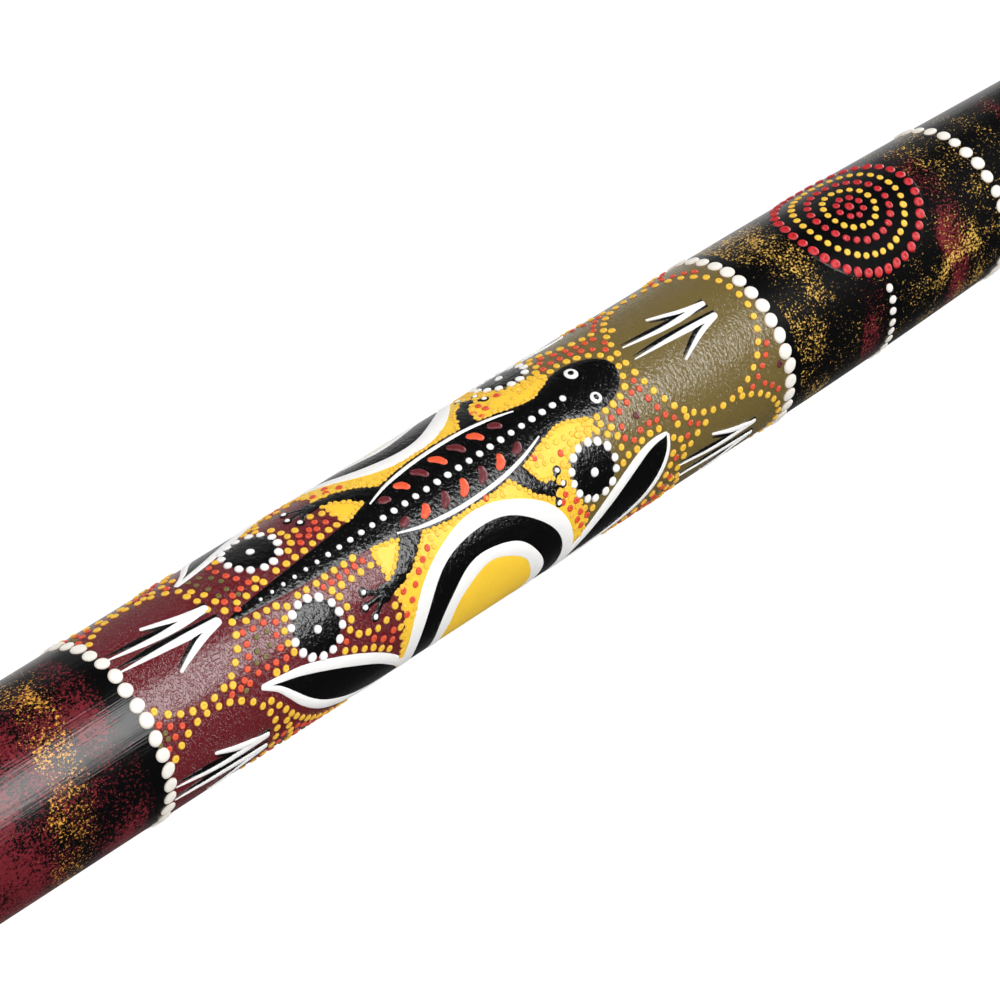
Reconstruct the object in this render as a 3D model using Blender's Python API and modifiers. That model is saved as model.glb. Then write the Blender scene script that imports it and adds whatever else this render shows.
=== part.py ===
"""Didgeridoo: a hardwood tube, split and hollowed in two halves and glued, with a beeswax mouthpiece.

It stands on its bell. The origin is the middle of the bell's rim, on the surface that it stands on,
and +Z runs up the bore to the mouthpiece. The glue line lies in the plane X = 0.
"""
from math import cos, pi, sin

import bpy

# Driving dimensions, metres
LENGTH = 1.200            # bell rim to the lip of the mouthpiece
WAX_HEIGHT = 0.014        # how far the mouthpiece stands above the wood
TUBE_RADIUS = 0.030       # outside of the straight middle of the tube
BELL_RADIUS = 0.045       # outside of the bell's rim
NECK_RADIUS = 0.0235      # outside of the wood under the mouthpiece
BORE_RADIUS = 0.020       # inside of the straight middle of the tube
BELL_BORE_RADIUS = 0.037  # inside of the bell's rim
NECK_BORE_RADIUS = 0.017  # inside of the wood under the mouthpiece
LIP_RADIUS = 0.015        # the hole that the player blows into
FLARE_HEIGHT = 0.300      # where the bell's flare ends
TAPER_START = 0.900       # where the tube starts to narrow towards the neck
BORE_TAPER_START = 1.000  # where the bore starts to narrow towards the neck
FLARE_POWER = 2.0         # how late the bell opens: 1 is a plain cone
RIM_ROUND = 0.0015        # rounding of the wooden rims
WAX_ROUND = 0.0035        # rounding of the mouthpiece's lip, outside and inside

# Fits
JOINT_GAP = 0.0003        # clearance between two pieces that are glued or pressed together

# Fineness
TURN_STEPS = 64           # facets around the tube
CURVE_STEPS = 7           # profile points along the flare and along the taper
ROUND_STEPS = 4           # profile points on the lip's rounding
MERGE_DISTANCE = 0.00001

WOOD_TOP = LENGTH - WAX_HEIGHT


def ease(share):
    """Goes from 0 to 1 with a flat start and a flat end."""
    return share * share * (3.0 - 2.0 * share)


def flared_radius(height, bell, middle):
    share = 1.0 - height / FLARE_HEIGHT
    return middle + (bell - middle) * share ** FLARE_POWER


def tapered_radius(height, start, middle, neck):
    share = (height - start) / (WOOD_TOP - start)
    return middle + (neck - middle) * ease(share)


def outline(bell, middle, neck, taper_start):
    """Heights and radii of one surface of the wood, from the neck down to the bell."""
    points = []
    for step in range(CURVE_STEPS):
        height = WOOD_TOP + (taper_start - WOOD_TOP) * step / CURVE_STEPS
        points.append((tapered_radius(height, taper_start, middle, neck), height))
    points.append((middle, taper_start))
    for step in range(CURVE_STEPS + 1):
        height = FLARE_HEIGHT * (1.0 - step / CURVE_STEPS)
        points.append((flared_radius(height, bell, middle), height))
    return points


def tube_profile():
    """Closed section of the wood: down the outside, across the bell's rim and up the bore."""
    outside = outline(BELL_RADIUS, TUBE_RADIUS, NECK_RADIUS, TAPER_START)
    inside = outline(BELL_BORE_RADIUS, BORE_RADIUS, NECK_BORE_RADIUS, BORE_TAPER_START)
    outside[0] = (NECK_RADIUS, WOOD_TOP - RIM_ROUND)
    outside[-1] = (BELL_RADIUS, RIM_ROUND)
    inside[-1] = (BELL_BORE_RADIUS, RIM_ROUND)
    top = [(NECK_RADIUS - RIM_ROUND, WOOD_TOP)]
    rim = [(BELL_RADIUS - RIM_ROUND, 0.0), (BELL_BORE_RADIUS + RIM_ROUND, 0.0)]
    return top + outside + rim + inside[::-1]


def quarter_round(radius, height, side):
    """Points of a quarter circle at the top of the lip; side is 1 outside and -1 inside."""
    points = []
    for step in range(ROUND_STEPS + 1):
        turn = pi / 2 * step / ROUND_STEPS
        points.append((radius - side * WAX_ROUND * (1.0 - sin(turn)),
                       height - WAX_ROUND * (1.0 - cos(turn))))
    return points


def lip_profile():
    """Closed section of the mouthpiece: a ring of wax with a rounded lip and a flat foot."""
    foot = WOOD_TOP + JOINT_GAP
    outside = quarter_round(NECK_RADIUS, LENGTH, 1)
    inside = quarter_round(LIP_RADIUS, LENGTH, -1)
    points = outside + [(NECK_RADIUS, foot), (LIP_RADIUS, foot)] + inside[::-1]
    return drop_repeats(points)


def drop_repeats(points):
    """Leaves out a point that lies on the one before it, so that no edge has zero length."""
    kept = [points[0]]
    for point in points[1:]:
        if max(abs(point[0] - kept[-1][0]), abs(point[1] - kept[-1][1])) > MERGE_DISTANCE:
            kept.append(point)
    return kept


def plain_material(name, colour, roughness):
    material = bpy.data.materials.new(name)
    material.use_nodes = True
    shader = material.node_tree.nodes["Principled BSDF"]
    shader.inputs["Base Color"].default_value = (*colour, 1.0)
    shader.inputs["Roughness"].default_value = roughness
    shader.inputs["Metallic"].default_value = 0.0
    return material


def turned_object(name, profile, material, collection):
    """Turns a closed profile once around Z."""
    mesh = bpy.data.meshes.new(name)
    corners = [(radius, 0.0, height) for radius, height in profile]
    edges = [(index, (index + 1) % len(corners)) for index in range(len(corners))]
    mesh.from_pydata(corners, edges, [])
    mesh.materials.append(material)
    piece = bpy.data.objects.new(name, mesh)
    collection.objects.link(piece)
    turn = piece.modifiers.new("turn", "SCREW")
    turn.steps = TURN_STEPS
    turn.render_steps = TURN_STEPS
    turn.use_merge_vertices = True
    turn.merge_threshold = MERGE_DISTANCE
    turn.use_smooth_shade = True
    return piece


def half_space(name, side, collection):
    """A block that covers everything on one side of the glue line, and the line's own gap."""
    width = 4.0 * BELL_RADIUS
    bpy.ops.mesh.primitive_cube_add(size=1.0, location=(0.0, 0.0, LENGTH / 2))
    block = bpy.context.object
    block.name = name
    for vertex in block.data.vertices:
        reach = width if vertex.co.x > 0 else 0.0
        vertex.co.x = side * (reach - JOINT_GAP / 2)
        vertex.co.y *= width
        vertex.co.z *= 2.0 * LENGTH
    if side < 0:
        block.data.flip_normals()
    for owner in list(block.users_collection):
        owner.objects.unlink(block)
    collection.objects.link(block)
    block.hide_render = True
    block.display_type = "WIRE"
    return block


def half_shell(name, side, material, collection, cutters):
    """One carved half of the tube: what is left of the turned tube on one side of the glue line."""
    shell = turned_object(name, tube_profile(), material, collection)
    cut = shell.modifiers.new("split", "BOOLEAN")
    cut.operation = "DIFFERENCE"
    cut.solver = "EXACT"
    cut.object = half_space(name + "_cutter", -side, cutters)
    return shell


def new_collection(name):
    collection = bpy.data.collections.new(name)
    bpy.context.scene.collection.children.link(collection)
    return collection


def main():
    for leftover in list(bpy.data.objects):
        bpy.data.objects.remove(leftover, do_unlink=True)
    pieces = new_collection("didgeridoo")
    cutters = new_collection("cutters")
    lacquered_wood = plain_material("lacquered_wood", (0.012, 0.011, 0.012), 0.3)
    beeswax = plain_material("beeswax", (0.36, 0.17, 0.045), 0.45)
    half_shell("tube_half_right", 1, lacquered_wood, pieces, cutters)
    half_shell("tube_half_left", -1, lacquered_wood, pieces, cutters)
    turned_object("wax_mouthpiece", lip_profile(), beeswax, pieces)


main()
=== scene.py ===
"""Hand-painted didgeridoo: its wood, wax, lacquer grounds, painted figures and raised dots.

The tube stands on its bell. The painting is laid out on flat sheets in millimetres and then
wrapped round the tube: `up` runs along the tube and `side` runs round it, to the right of the
sheet's centre line.
"""
import random
from collections import namedtuple
from math import ceil, cos, hypot, pi, radians, sin

import bmesh
import bpy
from bpy.props import FloatProperty, FloatVectorProperty, PointerProperty
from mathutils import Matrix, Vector
from mathutils.geometry import delaunay_2d_cdt


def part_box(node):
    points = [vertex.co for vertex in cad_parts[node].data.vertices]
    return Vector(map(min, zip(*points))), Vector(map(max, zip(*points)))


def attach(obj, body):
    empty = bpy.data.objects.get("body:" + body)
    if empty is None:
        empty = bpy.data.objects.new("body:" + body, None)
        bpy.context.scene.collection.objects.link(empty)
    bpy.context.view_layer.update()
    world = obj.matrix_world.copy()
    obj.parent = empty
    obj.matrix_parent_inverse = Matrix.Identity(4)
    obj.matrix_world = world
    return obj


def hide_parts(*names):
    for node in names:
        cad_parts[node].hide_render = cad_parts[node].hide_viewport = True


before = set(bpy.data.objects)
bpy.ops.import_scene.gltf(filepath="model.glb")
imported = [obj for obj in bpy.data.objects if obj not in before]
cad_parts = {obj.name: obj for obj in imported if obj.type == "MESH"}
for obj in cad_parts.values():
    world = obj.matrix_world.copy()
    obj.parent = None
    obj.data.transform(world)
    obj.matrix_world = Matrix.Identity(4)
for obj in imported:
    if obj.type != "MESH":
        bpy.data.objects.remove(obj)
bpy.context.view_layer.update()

bl_info = {
    "name": "Painted didgeridoo",
    "version": (1, 0, 0),
    "blender": (4, 5, 0),
    "location": "View3D > Sidebar > Didgeridoo",
    "description": "Builds a hand-painted didgeridoo piece by piece around its wooden tube",
    "category": "Add Mesh",
}

BODY = "root"
MM = 0.001

# The tube, metres. Its length and its widest and narrowest places come from the frame.
WOOD_LOW, WOOD_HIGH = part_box("tube_half_right")
WAX_LOW, WAX_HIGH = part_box("wax_mouthpiece")
WOOD_TOP = WOOD_HIGH[2]
BELL_RADIUS = WOOD_HIGH[0]
NECK_RADIUS = WAX_HIGH[0]
TUBE_RADIUS = 0.030
BORE_RADIUS = 0.020
BELL_BORE_RADIUS = 0.037
NECK_BORE_RADIUS = 0.017
LIP_RADIUS = 0.015
FLARE_HEIGHT = 0.300
TAPER_START = 0.900
BORE_TAPER_START = 1.000
FLARE_POWER = 2.0

# The painted sheets
Sheet = namedtuple("Sheet", "foot line drift")
PANEL = Sheet(foot=0.634, line=-8.0, drift=-0.027)      # the main panel, on the straight tube
LOWER = Sheet(foot=0.200, line=0.0, drift=0.0)          # the lower panel, above the bell
PANEL_LENGTH = 264.0
LOWER_LENGTH = 240.0
ROUND = 2 * pi * TUBE_RADIUS / MM                       # once round the straight tube
BACK_LINE = ROUND / 2
ARCH_STEP = ROUND / 4


# ---------------------------------------------------------------- flat drawing on the sheets

def smooth_path(points, closed=False, step=0.8):
    """Points about a step apart on a smooth curve through the given ones."""
    count = len(points)
    spans = count if closed else count - 1
    path = []
    for span in range(spans):
        if closed:
            corners = [points[(span + shift) % count] for shift in (-1, 0, 1, 2)]
        else:
            corners = [points[min(max(span + shift, 0), count - 1)] for shift in (-1, 0, 1, 2)]
        before, start, end, after = corners
        pieces = max(1, ceil(hypot(end[0] - start[0], end[1] - start[1]) / step))
        for piece in range(pieces):
            t = piece / pieces
            path.append(tuple(
                0.5 * (2 * b + (c - a) * t + (2 * a - 5 * b + 4 * c - d) * t * t
                       + (3 * b - a - 3 * c + d) * t ** 3)
                for a, b, c, d in zip(before, start, end, after)))
    if not closed:
        path.append(tuple(points[-1]))
    return path


def outline(*stretches, step=0.8):
    """A closed outline of smooth stretches that meet at corners."""
    path = []
    for stretch in stretches:
        path.extend(smooth_path(stretch, step=step)[:-1])
    return path


def arc(centre, radius, start, end, step=0.8, squash=1.0):
    """Points on an arc; angles in degrees, 0 is straight up the tube, 90 is to the right."""
    count = max(2, ceil(radians(abs(end - start)) * radius / step) + 1)
    turns = [radians(start + (end - start) * index / (count - 1)) for index in range(count)]
    return [(centre[0] + radius * cos(turn), centre[1] + radius * squash * sin(turn)) for turn in turns]


def circle(centre, radius, step=0.8, wobble=0.0, seed=0):
    """A closed round outline; wobble makes it uneven, as a brush does."""
    rng = random.Random(seed)
    phases = [rng.uniform(0, 2 * pi) for _ in range(3)]
    count = max(12, ceil(2 * pi * radius / step))
    path = []
    for index in range(count):
        turn = 2 * pi * index / count
        uneven = sum(sin((order + 2) * turn + phase) for order, phase in enumerate(phases)) / 3
        reach = radius + wobble * uneven
        path.append((centre[0] + reach * cos(turn), centre[1] + reach * sin(turn)))
    return path


def measured(path):
    """Distance of each point of a path from its start."""
    lengths = [0.0]
    for first, second in zip(path, path[1:]):
        lengths.append(lengths[-1] + hypot(second[0] - first[0], second[1] - first[1]))
    return lengths


def points_at(path, distances):
    """The points of a path at rising distances from its start."""
    lengths = measured(path)
    points, at = [], 0
    for distance in distances:
        while at < len(lengths) - 2 and lengths[at + 1] < distance:
            at += 1
        span = lengths[at + 1] - lengths[at]
        share = (distance - lengths[at]) / span if span else 0.0
        points.append(tuple(a + (b - a) * share for a, b in zip(path[at], path[at + 1])))
    return points


def evenly(path, spacing, closed=False):
    """Points a fixed distance apart along a path."""
    if closed:
        path = path + [path[0]]
    length = measured(path)[-1]
    count = max(1, round(length / spacing))
    return points_at(path, [length * index / count for index in range(count if closed else count + 1)])


def flipped(points):
    """The same points on the other side of the sheet's centre line, in the same order."""
    return [(up, -side) for up, side in points]


def mirrored(points):
    """The same points on the other side of the sheet's centre line, in the opposite order."""
    return [(up, -side) for up, side in reversed(points)]


def shifted(points, up, side):
    return [(point[0] + up, point[1] + side) for point in points]


def between(points, others, share):
    """Points moved part of the way towards the matching ones of another list."""
    return [tuple(a + (b - a) * share for a, b in zip(*pair)) for pair in zip(points, others)]


def inside(point, loop):
    """Whether a point lies in a closed outline."""
    up, side = point
    found = False
    for first, second in zip(loop, loop[1:] + loop[:1]):
        if (first[1] > side) != (second[1] > side):
            crossing = first[0] + (side - first[1]) * (second[0] - first[0]) / (second[1] - first[1])
            if up < crossing:
                found = not found
    return found


def clearance(point, loop):
    """Distance from a point to the nearest corner of an outline."""
    return min(hypot(point[0] - corner[0], point[1] - corner[1]) for corner in loop)


# ---------------------------------------------------------------- from a sheet to the tube

def ease(share):
    share = min(max(share, 0.0), 1.0)
    return share * share * (3.0 - 2.0 * share)


def tube_radius(height):
    """Outside radius of the wood at a height, metres."""
    if height < FLARE_HEIGHT:
        return TUBE_RADIUS + (BELL_RADIUS - TUBE_RADIUS) * (1.0 - height / FLARE_HEIGHT) ** FLARE_POWER
    share = (height - TAPER_START) / (WOOD_TOP - TAPER_START)
    return TUBE_RADIUS + (NECK_RADIUS - TUBE_RADIUS) * ease(share)


def bore_radius(height):
    """Inside radius of the wood at a height, metres."""
    if height < FLARE_HEIGHT:
        return BORE_RADIUS + (BELL_BORE_RADIUS - BORE_RADIUS) * (1.0 - height / FLARE_HEIGHT) ** FLARE_POWER
    share = (height - BORE_TAPER_START) / (WOOD_TOP - BORE_TAPER_START)
    return BORE_RADIUS + (NECK_BORE_RADIUS - BORE_RADIUS) * ease(share)


def wrapped(point, sheet):
    """Puts a point of a sheet, (up, side, lift) in millimetres, on the tube."""
    up, side, lift = point
    height = sheet.foot + up * MM
    turn = (sheet.line + sheet.drift * up + side) * MM / TUBE_RADIUS
    radius = tube_radius(height) + lift * MM
    return (radius * sin(turn), -radius * cos(turn), height)


# ---------------------------------------------------------------- relief: slabs, strokes, domes

SUNK = -0.15          # how deep a painted piece reaches into the lacquer, millimetres
STROKE_STEP = 0.7     # distance between a stroke's points
SLAB_GRID = 2.2       # distance between a slab's inner points, so that it bends round the tube
TINT_ATTRIBUTE = "dot_tint"   # name of the attribute that says how far a dot's colour turns darker: at its edge and in its sunk middle
END_TURNS = (10, 28, 46, 64, 82)     # degrees round the end of a stroke at which it gets a point
BLACK_LIFT = 0.24     # how far black leaves and discs stand up, millimetres
WHITE_LIFT = 0.42     # the same for white bands


def stroke_points(path, first_width, last_width):
    """Distances along a stroke for its points, and its share of the full width at each."""
    length = measured(path)[-1]
    head = min(first_width / 2, length * 0.45)
    tail = min(last_width / 2, length * 0.45)
    distances = [head * (1 - cos(radians(turn))) for turn in END_TURNS]
    shares = [sin(radians(turn)) for turn in END_TURNS]
    count = max(1, ceil((length - head - tail) / STROKE_STEP))
    distances += [head + (length - head - tail) * index / count for index in range(count + 1)]
    shares += [1.0] * (count + 1)
    distances += [length - tail * (1 - cos(radians(turn))) for turn in reversed(END_TURNS)]
    shares += [sin(radians(turn)) for turn in reversed(END_TURNS)]
    return distances, shares


class Relief:
    """Collects painted solids of one colour on one sheet, and makes one object of them."""

    def __init__(self, sheet):
        self.sheet = sheet
        self.corners = []
        self.faces = []
        self.darkening = []        # for each corner, how far its colour turns to the darker rim colour, 0 to 1

    def add(self, corners, faces, darkening=None):
        shift = len(self.corners)
        self.corners.extend(corners)
        self.darkening.extend(darkening or [0.0] * len(corners))
        self.faces.extend(tuple(index + shift for index in face) for face in faces)

    def slab(self, loop, lift, edge=0.35):
        """A flat painted area with rounded edges."""
        grid = list(loop)
        ups = [point[0] for point in loop]
        sides = [point[1] for point in loop]
        columns = int((max(ups) - min(ups)) / (SLAB_GRID * 2)) + 1
        rows = int((max(sides) - min(sides)) / SLAB_GRID) + 1
        for column in range(1, columns):
            for row in range(1, rows):
                point = (min(ups) + (max(ups) - min(ups)) * column / columns,
                         min(sides) + (max(sides) - min(sides)) * row / rows)
                if inside(point, loop) and clearance(point, loop) > 0.45 * SLAB_GRID:
                    grid.append(point)
        ring = [(index, (index + 1) % len(loop)) for index in range(len(loop))]
        corners, _, faces, *_ = delaunay_2d_cdt([Vector(point) for point in grid], ring, [], 1, 1e-4)
        flat = bmesh.new()
        placed = [flat.verts.new((corner.x, corner.y, SUNK)) for corner in corners]
        for face in faces:
            flat.faces.new([placed[index] for index in face])
        lower = list(flat.faces)
        raised = bmesh.ops.extrude_face_region(flat, geom=lower)["geom"]
        top = [item for item in raised if isinstance(item, bmesh.types.BMFace)]
        for item in raised:
            if isinstance(item, bmesh.types.BMVert):
                item.co.z = lift * 0.55
        bmesh.ops.inset_region(flat, faces=top, thickness=edge, use_even_offset=False)
        for corner in {corner for face in top for corner in face.verts}:
            corner.co.z = lift
        bmesh.ops.recalc_face_normals(flat, faces=flat.faces)
        flat.verts.index_update()
        # sorted, because Blender's own order of these faces changes from run to run
        self.add([tuple(corner.co) for corner in flat.verts],
                 sorted([corner.index for corner in face.verts] for face in flat.faces))
        flat.free()

    def band(self, outer, inner, lift):
        """A painted ring between two closed outlines with the same number of points."""
        count = len(outer)
        mixes = ((0.0, SUNK), (0.0, 0.5), (0.12, 0.95), (0.5, 1.0), (0.88, 0.95), (1.0, 0.5), (1.0, SUNK))
        corners = []
        for share, rise in mixes:
            level = rise if rise < 0 else rise * lift
            for first, second in zip(outer, inner):
                corners.append((first[0] + (second[0] - first[0]) * share,
                                first[1] + (second[1] - first[1]) * share, level))
        faces = []
        for ring in range(len(mixes)):
            following = (ring + 1) % len(mixes)
            for index in range(count):
                beyond = (index + 1) % count
                faces.append((ring * count + index, following * count + index,
                              following * count + beyond, ring * count + beyond))
        self.add(corners, faces)

    def stroke(self, points, widths, lift=0.45, closed=False):
        """A brush stroke along a smooth path; widths are spread evenly along it."""
        path = smooth_path(points, closed, step=0.4)
        if closed:
            path = evenly(path, STROKE_STEP, closed)
            distances, shares = measured(path), [1.0] * len(path)
        else:
            distances, shares = stroke_points(path, widths[0], widths[-1])
            path = points_at(path, distances)
        last = len(path) - 1
        profile = ((-1.0, SUNK), (-0.97, 0.25), (-0.7, 0.75), (0.0, 1.0), (0.7, 0.75), (0.97, 0.25),
                   (1.0, SUNK))
        corners = []
        for index, (up, side) in enumerate(path):
            share = distances[index] / distances[-1] * (len(widths) - 1)
            step = min(int(share), len(widths) - 2)
            width = widths[step] + (widths[step + 1] - widths[step]) * (share - step)
            width *= shares[index]
            if closed:
                before, after = path[index - 1], path[(index + 1) % len(path)]
            else:
                before, after = path[max(index - 1, 0)], path[min(index + 1, last)]
            run = (after[0] - before[0], after[1] - before[1])
            length = hypot(*run) or 1.0
            across = (-run[1] / length, run[0] / length)
            rise_here = lift * min(1.0, width / max(widths) + 0.25)
            for offset, rise in profile:
                level = rise if rise < 0 else rise * rise_here
                corners.append((up + across[0] * offset * width / 2,
                                side + across[1] * offset * width / 2, level))
        size = len(profile)
        faces = []
        for index in range(len(path) if closed else last):
            following = (index + 1) % len(path)
            for spot in range(size):
                beyond = (spot + 1) % size
                faces.append((index * size + spot, following * size + spot,
                              following * size + beyond, index * size + beyond))
        if not closed:
            faces.append(tuple(range(size)))
            faces.append(tuple(reversed(range(last * size, last * size + size))))
        self.add(corners, faces)

    def dome(self, centre, diameter, lift, segments=12, rng=random, pit=0.0):
        """One dot of thick paint; its middle may have sunk as it dried. Its colour turns darker at its edge
        and in its sunk middle.
        """
        rings = ((1.0, SUNK), (1.0, 0.3), (0.86, 0.72), (0.6, 1.0), (0.34, 1.0 - 0.45 * pit))
        # how far the colour turns darker at each ring: fully at the edge, none on the shoulder, some in the
        # sunk middle
        levels = (1.0, 1.0, 0.4, 0.0, 0.7 * pit)
        stretch = rng.uniform(0.93, 1.08)
        lean = rng.uniform(0, 2 * pi)
        radius = diameter / 2 * rng.uniform(0.93, 1.07)
        corners = []
        for share, rise in rings:
            level = rise if rise < 0 else rise * lift
            for index in range(segments):
                turn = 2 * pi * index / segments
                reach = radius * share * (1 + (stretch - 1) * cos(2 * (turn - lean)))
                corners.append((centre[0] + reach * cos(turn), centre[1] + reach * sin(turn), level))
        corners.append((centre[0], centre[1], lift * (1.02 - pit)))
        darkening = [level for level in levels for _ in range(segments)] + [pit]
        faces = [tuple(reversed(range(segments)))]
        for ring in range(len(rings) - 1):
            for index in range(segments):
                beyond = (index + 1) % segments
                faces.append((ring * segments + index, ring * segments + beyond,
                              (ring + 1) * segments + beyond, (ring + 1) * segments + index))
        first = (len(rings) - 1) * segments
        for index in range(segments):
            faces.append((first + index, first + (index + 1) % segments, len(corners) - 1))
        self.add(corners, faces, darkening)

    def finish(self, name, material):
        """Wraps what was collected round the tube and returns it as one object."""
        placed = [wrapped(corner, self.sheet) for corner in self.corners]
        piece = solid_piece(name, placed, self.faces, material, crease=55)
        piece.data.attributes.new(TINT_ATTRIBUTE, "FLOAT", "POINT").data.foreach_set("value", self.darkening)
        return shown(piece)


def solid_piece(name, corners, faces, material, crease):
    """An object whose normals point outwards; edges sharper than the crease, in degrees, stay sharp."""
    mesh = bpy.data.meshes.new(name)
    mesh.from_pydata(corners, [], faces)
    solid = bmesh.new()
    solid.from_mesh(mesh)
    bmesh.ops.recalc_face_normals(solid, faces=solid.faces)
    solid.to_mesh(mesh)
    solid.free()
    mesh.shade_smooth()
    mesh.set_sharp_from_angle(angle=radians(crease))
    mesh.materials.append(material)
    return bpy.data.objects.new(name, mesh)


def shown(piece):
    """Puts a finished piece in the scene, on the tube."""
    bpy.context.scene.collection.objects.link(piece)
    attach(piece, BODY)
    return piece


# ---------------------------------------------------------------- rows of dots that keep clear

DOT_WIDTH_SHARES = {"orange": 0.9, "green": 0.74}


class DotRows:
    """Places dots in rows, and leaves out any that would touch another dot or a kept-clear shape."""

    def __init__(self, sheet, seed, round_the_tube=ROUND):
        self.sheet = sheet
        self.rng = random.Random(seed)
        self.round = round_the_tube
        self.placed = []
        self.shapes = []

    def keep_clear(self, loop):
        ups = [point[0] for point in loop]
        sides = [point[1] for point in loop]
        self.shapes.append((min(ups), max(ups), min(sides), max(sides), loop))

    def blocked(self, point):
        for turns in (-1, 0, 1):
            up, side = point[0], point[1] + turns * self.round
            for low_up, high_up, low_side, high_side, loop in self.shapes:
                if low_up < up < high_up and low_side < side < high_side and inside((up, side), loop):
                    return True
        return False

    def touches(self, point, radius):
        for up, side, other, _ in self.placed:
            apart = abs(point[1] - side) % self.round
            apart = min(apart, self.round - apart)
            if hypot(point[0] - up, apart) < 0.93 * (radius + other):
                return True
        return False

    def spot(self, colour, point, diameter, uneven=0.14):
        diameter *= DOT_WIDTH_SHARES.get(colour, 1.0)
        up = point[0] + self.rng.uniform(-uneven, uneven)
        side = point[1] + self.rng.uniform(-uneven, uneven)
        if self.blocked((up, side)) or self.touches((up, side), diameter / 2):
            return
        self.placed.append((up, side, diameter / 2, colour))

    def row(self, colour, path, spacing, diameter, closed=False):
        for point in evenly(path, spacing, closed):
            self.spot(colour, point, diameter)

    def nest(self, loop, colours, gap=2.9, spacing=3.35, diameter=2.5):
        """Rows one inside the other, from the outline inwards, one row for each colour."""
        for order, colour in enumerate(colours):
            last = None
            for point in inset(loop, order * gap):
                if last is None or hypot(point[0] - last[0], point[1] - last[1]) >= spacing:
                    self.spot(colour, point, diameter)
                    last = point

    def finish(self, name, paints, lifts, segments, pit=0.6):
        """One object for each colour."""
        pieces = []
        for colour in sorted({spot[3] for spot in self.placed}):
            relief = Relief(self.sheet)
            for up, side, radius, own in self.placed:
                if own == colour:
                    sunk = pit * self.rng.uniform(0.5, 1.0)
                    relief.dome((up, side), 2 * radius, lifts[colour], segments, self.rng, sunk)
            pieces.append(relief.finish(f"{name}_{colour}", paints[colour]))
        return pieces


def inset(loop, depth):
    """Points on a line inside a closed outline, at a steady distance from it; outside for a minus depth."""
    area = sum(a[0] * b[1] - b[0] * a[1] for a, b in zip(loop, loop[1:] + loop[:1]))
    turn = 1.0 if area > 0 else -1.0
    line = []
    for index, point in enumerate(loop):
        before, after = loop[index - 1], loop[(index + 1) % len(loop)]
        run = (after[0] - before[0], after[1] - before[1])
        length = hypot(*run) or 1.0
        moved = (point[0] - turn * run[1] / length * depth, point[1] + turn * run[0] / length * depth)
        within = inside(moved, loop) == (depth > 0)
        if depth == 0 or (within and clearance(moved, loop) > abs(depth) - 0.25):
            line.append(moved)
    return line


# ---------------------------------------------------------------- sizes and colours to change

def display(red, green, blue):
    """A colour as a screen shows it, 0 to 255, turned into the linear values that shaders use."""
    return tuple(
        value / 255 / 12.92 if value <= 10 else ((value / 255 + 0.055) / 1.055) ** 2.4
        for value in (red, green, blue))


def colour_property(name, description, shade):
    return FloatVectorProperty(
        name=name, description=description, default=display(*shade), size=3, min=0.0, max=1.0,
        subtype="COLOR")


def length_property(name, description, metres):
    return FloatProperty(
        name=name, description=description, default=metres, min=0.0, precision=5, subtype="DISTANCE",
        unit="LENGTH")


class DidgeridooSizes(bpy.types.PropertyGroup):
    ring_dot: length_property("Ring dot", "Width of the big dots in the rings", 0.0049)
    small_ring_dot: length_property("Small ring dot", "Width of the dots in the small ring", 0.0031)
    fine_dot: length_property("Fine dot", "Width of the dots that fill the panel", 0.0025)
    ring_dot_height: length_property("Ring dot height", "How far a big dot stands up", 0.00072)
    fine_dot_height: length_property("Fine dot height", "How far a fine dot stands up", 0.0005)
    skin: length_property("Lacquer", "Thickness of the lacquer on the wood", 0.00035)
    pebble: length_property("Pebble", "Width of the pebbles in the thick panel paint", 0.0013)
    pebble_depth: length_property("Pebble depth", "Depth of the pebbled texture", 0.00022)
    streak_depth: length_property("Streak depth", "Depth of the brush streaks in the lacquer", 0.00013)


class DidgeridooColours(bpy.types.PropertyGroup):
    black: colour_property("Black", "Black lacquer and black figures", (4, 4, 5))
    maroon: colour_property("Maroon", "Lower ground of the panel", (102, 27, 34))
    olive: colour_property("Olive", "Upper ground of the panel", (113, 97, 54))
    yellow: colour_property("Yellow", "Suns, yellow ground and yellow dots", (255, 208, 62))
    orange: colour_property("Orange", "Orange dots, stripes and winding lines", (236, 88, 48))
    green: colour_property("Green", "Olive dots", (121, 108, 52))
    white: colour_property("White", "White lines", (249, 248, 246))
    cream: colour_property("Cream", "Big dots in the rings", (244, 240, 231))
    red: colour_property("Red", "Dots of the roundel", (208, 34, 42))
    sponge_maroon: colour_property("Sponged maroon", "Maroon print on black", (112, 34, 42))
    sponge_ochre: colour_property("Sponged ochre", "Ochre print on black", (226, 164, 66))
    sponge_gold: colour_property("Spattered gold", "Fine gold print on black", (230, 184, 88))
    wood: colour_property("Wood", "Hardwood in the bore and on the rim", (126, 70, 38))
    wax: colour_property("Beeswax", "Mouthpiece", (150, 92, 38))


# ---------------------------------------------------------------- node groups that materials share

def new_group(name, inputs, outputs):
    """An empty node group with named sockets. Each socket is (name, kind, default)."""
    group = bpy.data.node_groups.new(name, "ShaderNodeTree")
    for label, kind, default in inputs:
        socket = group.interface.new_socket(name=label, in_out="INPUT", socket_type="NodeSocket" + kind)
        socket.default_value = default
    for label, kind in outputs:
        group.interface.new_socket(name=label, in_out="OUTPUT", socket_type="NodeSocket" + kind)
    return group, group.nodes.new("NodeGroupInput"), group.nodes.new("NodeGroupOutput")


def add_node(tree, kind, settings=None, **values):
    """Adds a node; values are its inputs, numbers or the sockets that feed them."""
    made = tree.nodes.new("ShaderNode" + kind)
    for name, value in (settings or {}).items():
        setattr(made, name, value)
    for name, value in values.items():
        key = int(name[1:]) if name[1:].isdigit() else name.replace("_", " ")
        feed(tree, made.inputs[key], value)
    return made


def feed(tree, socket, value):
    if isinstance(value, bpy.types.NodeSocket):
        tree.links.new(value, socket)
    else:
        socket.default_value = value


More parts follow.
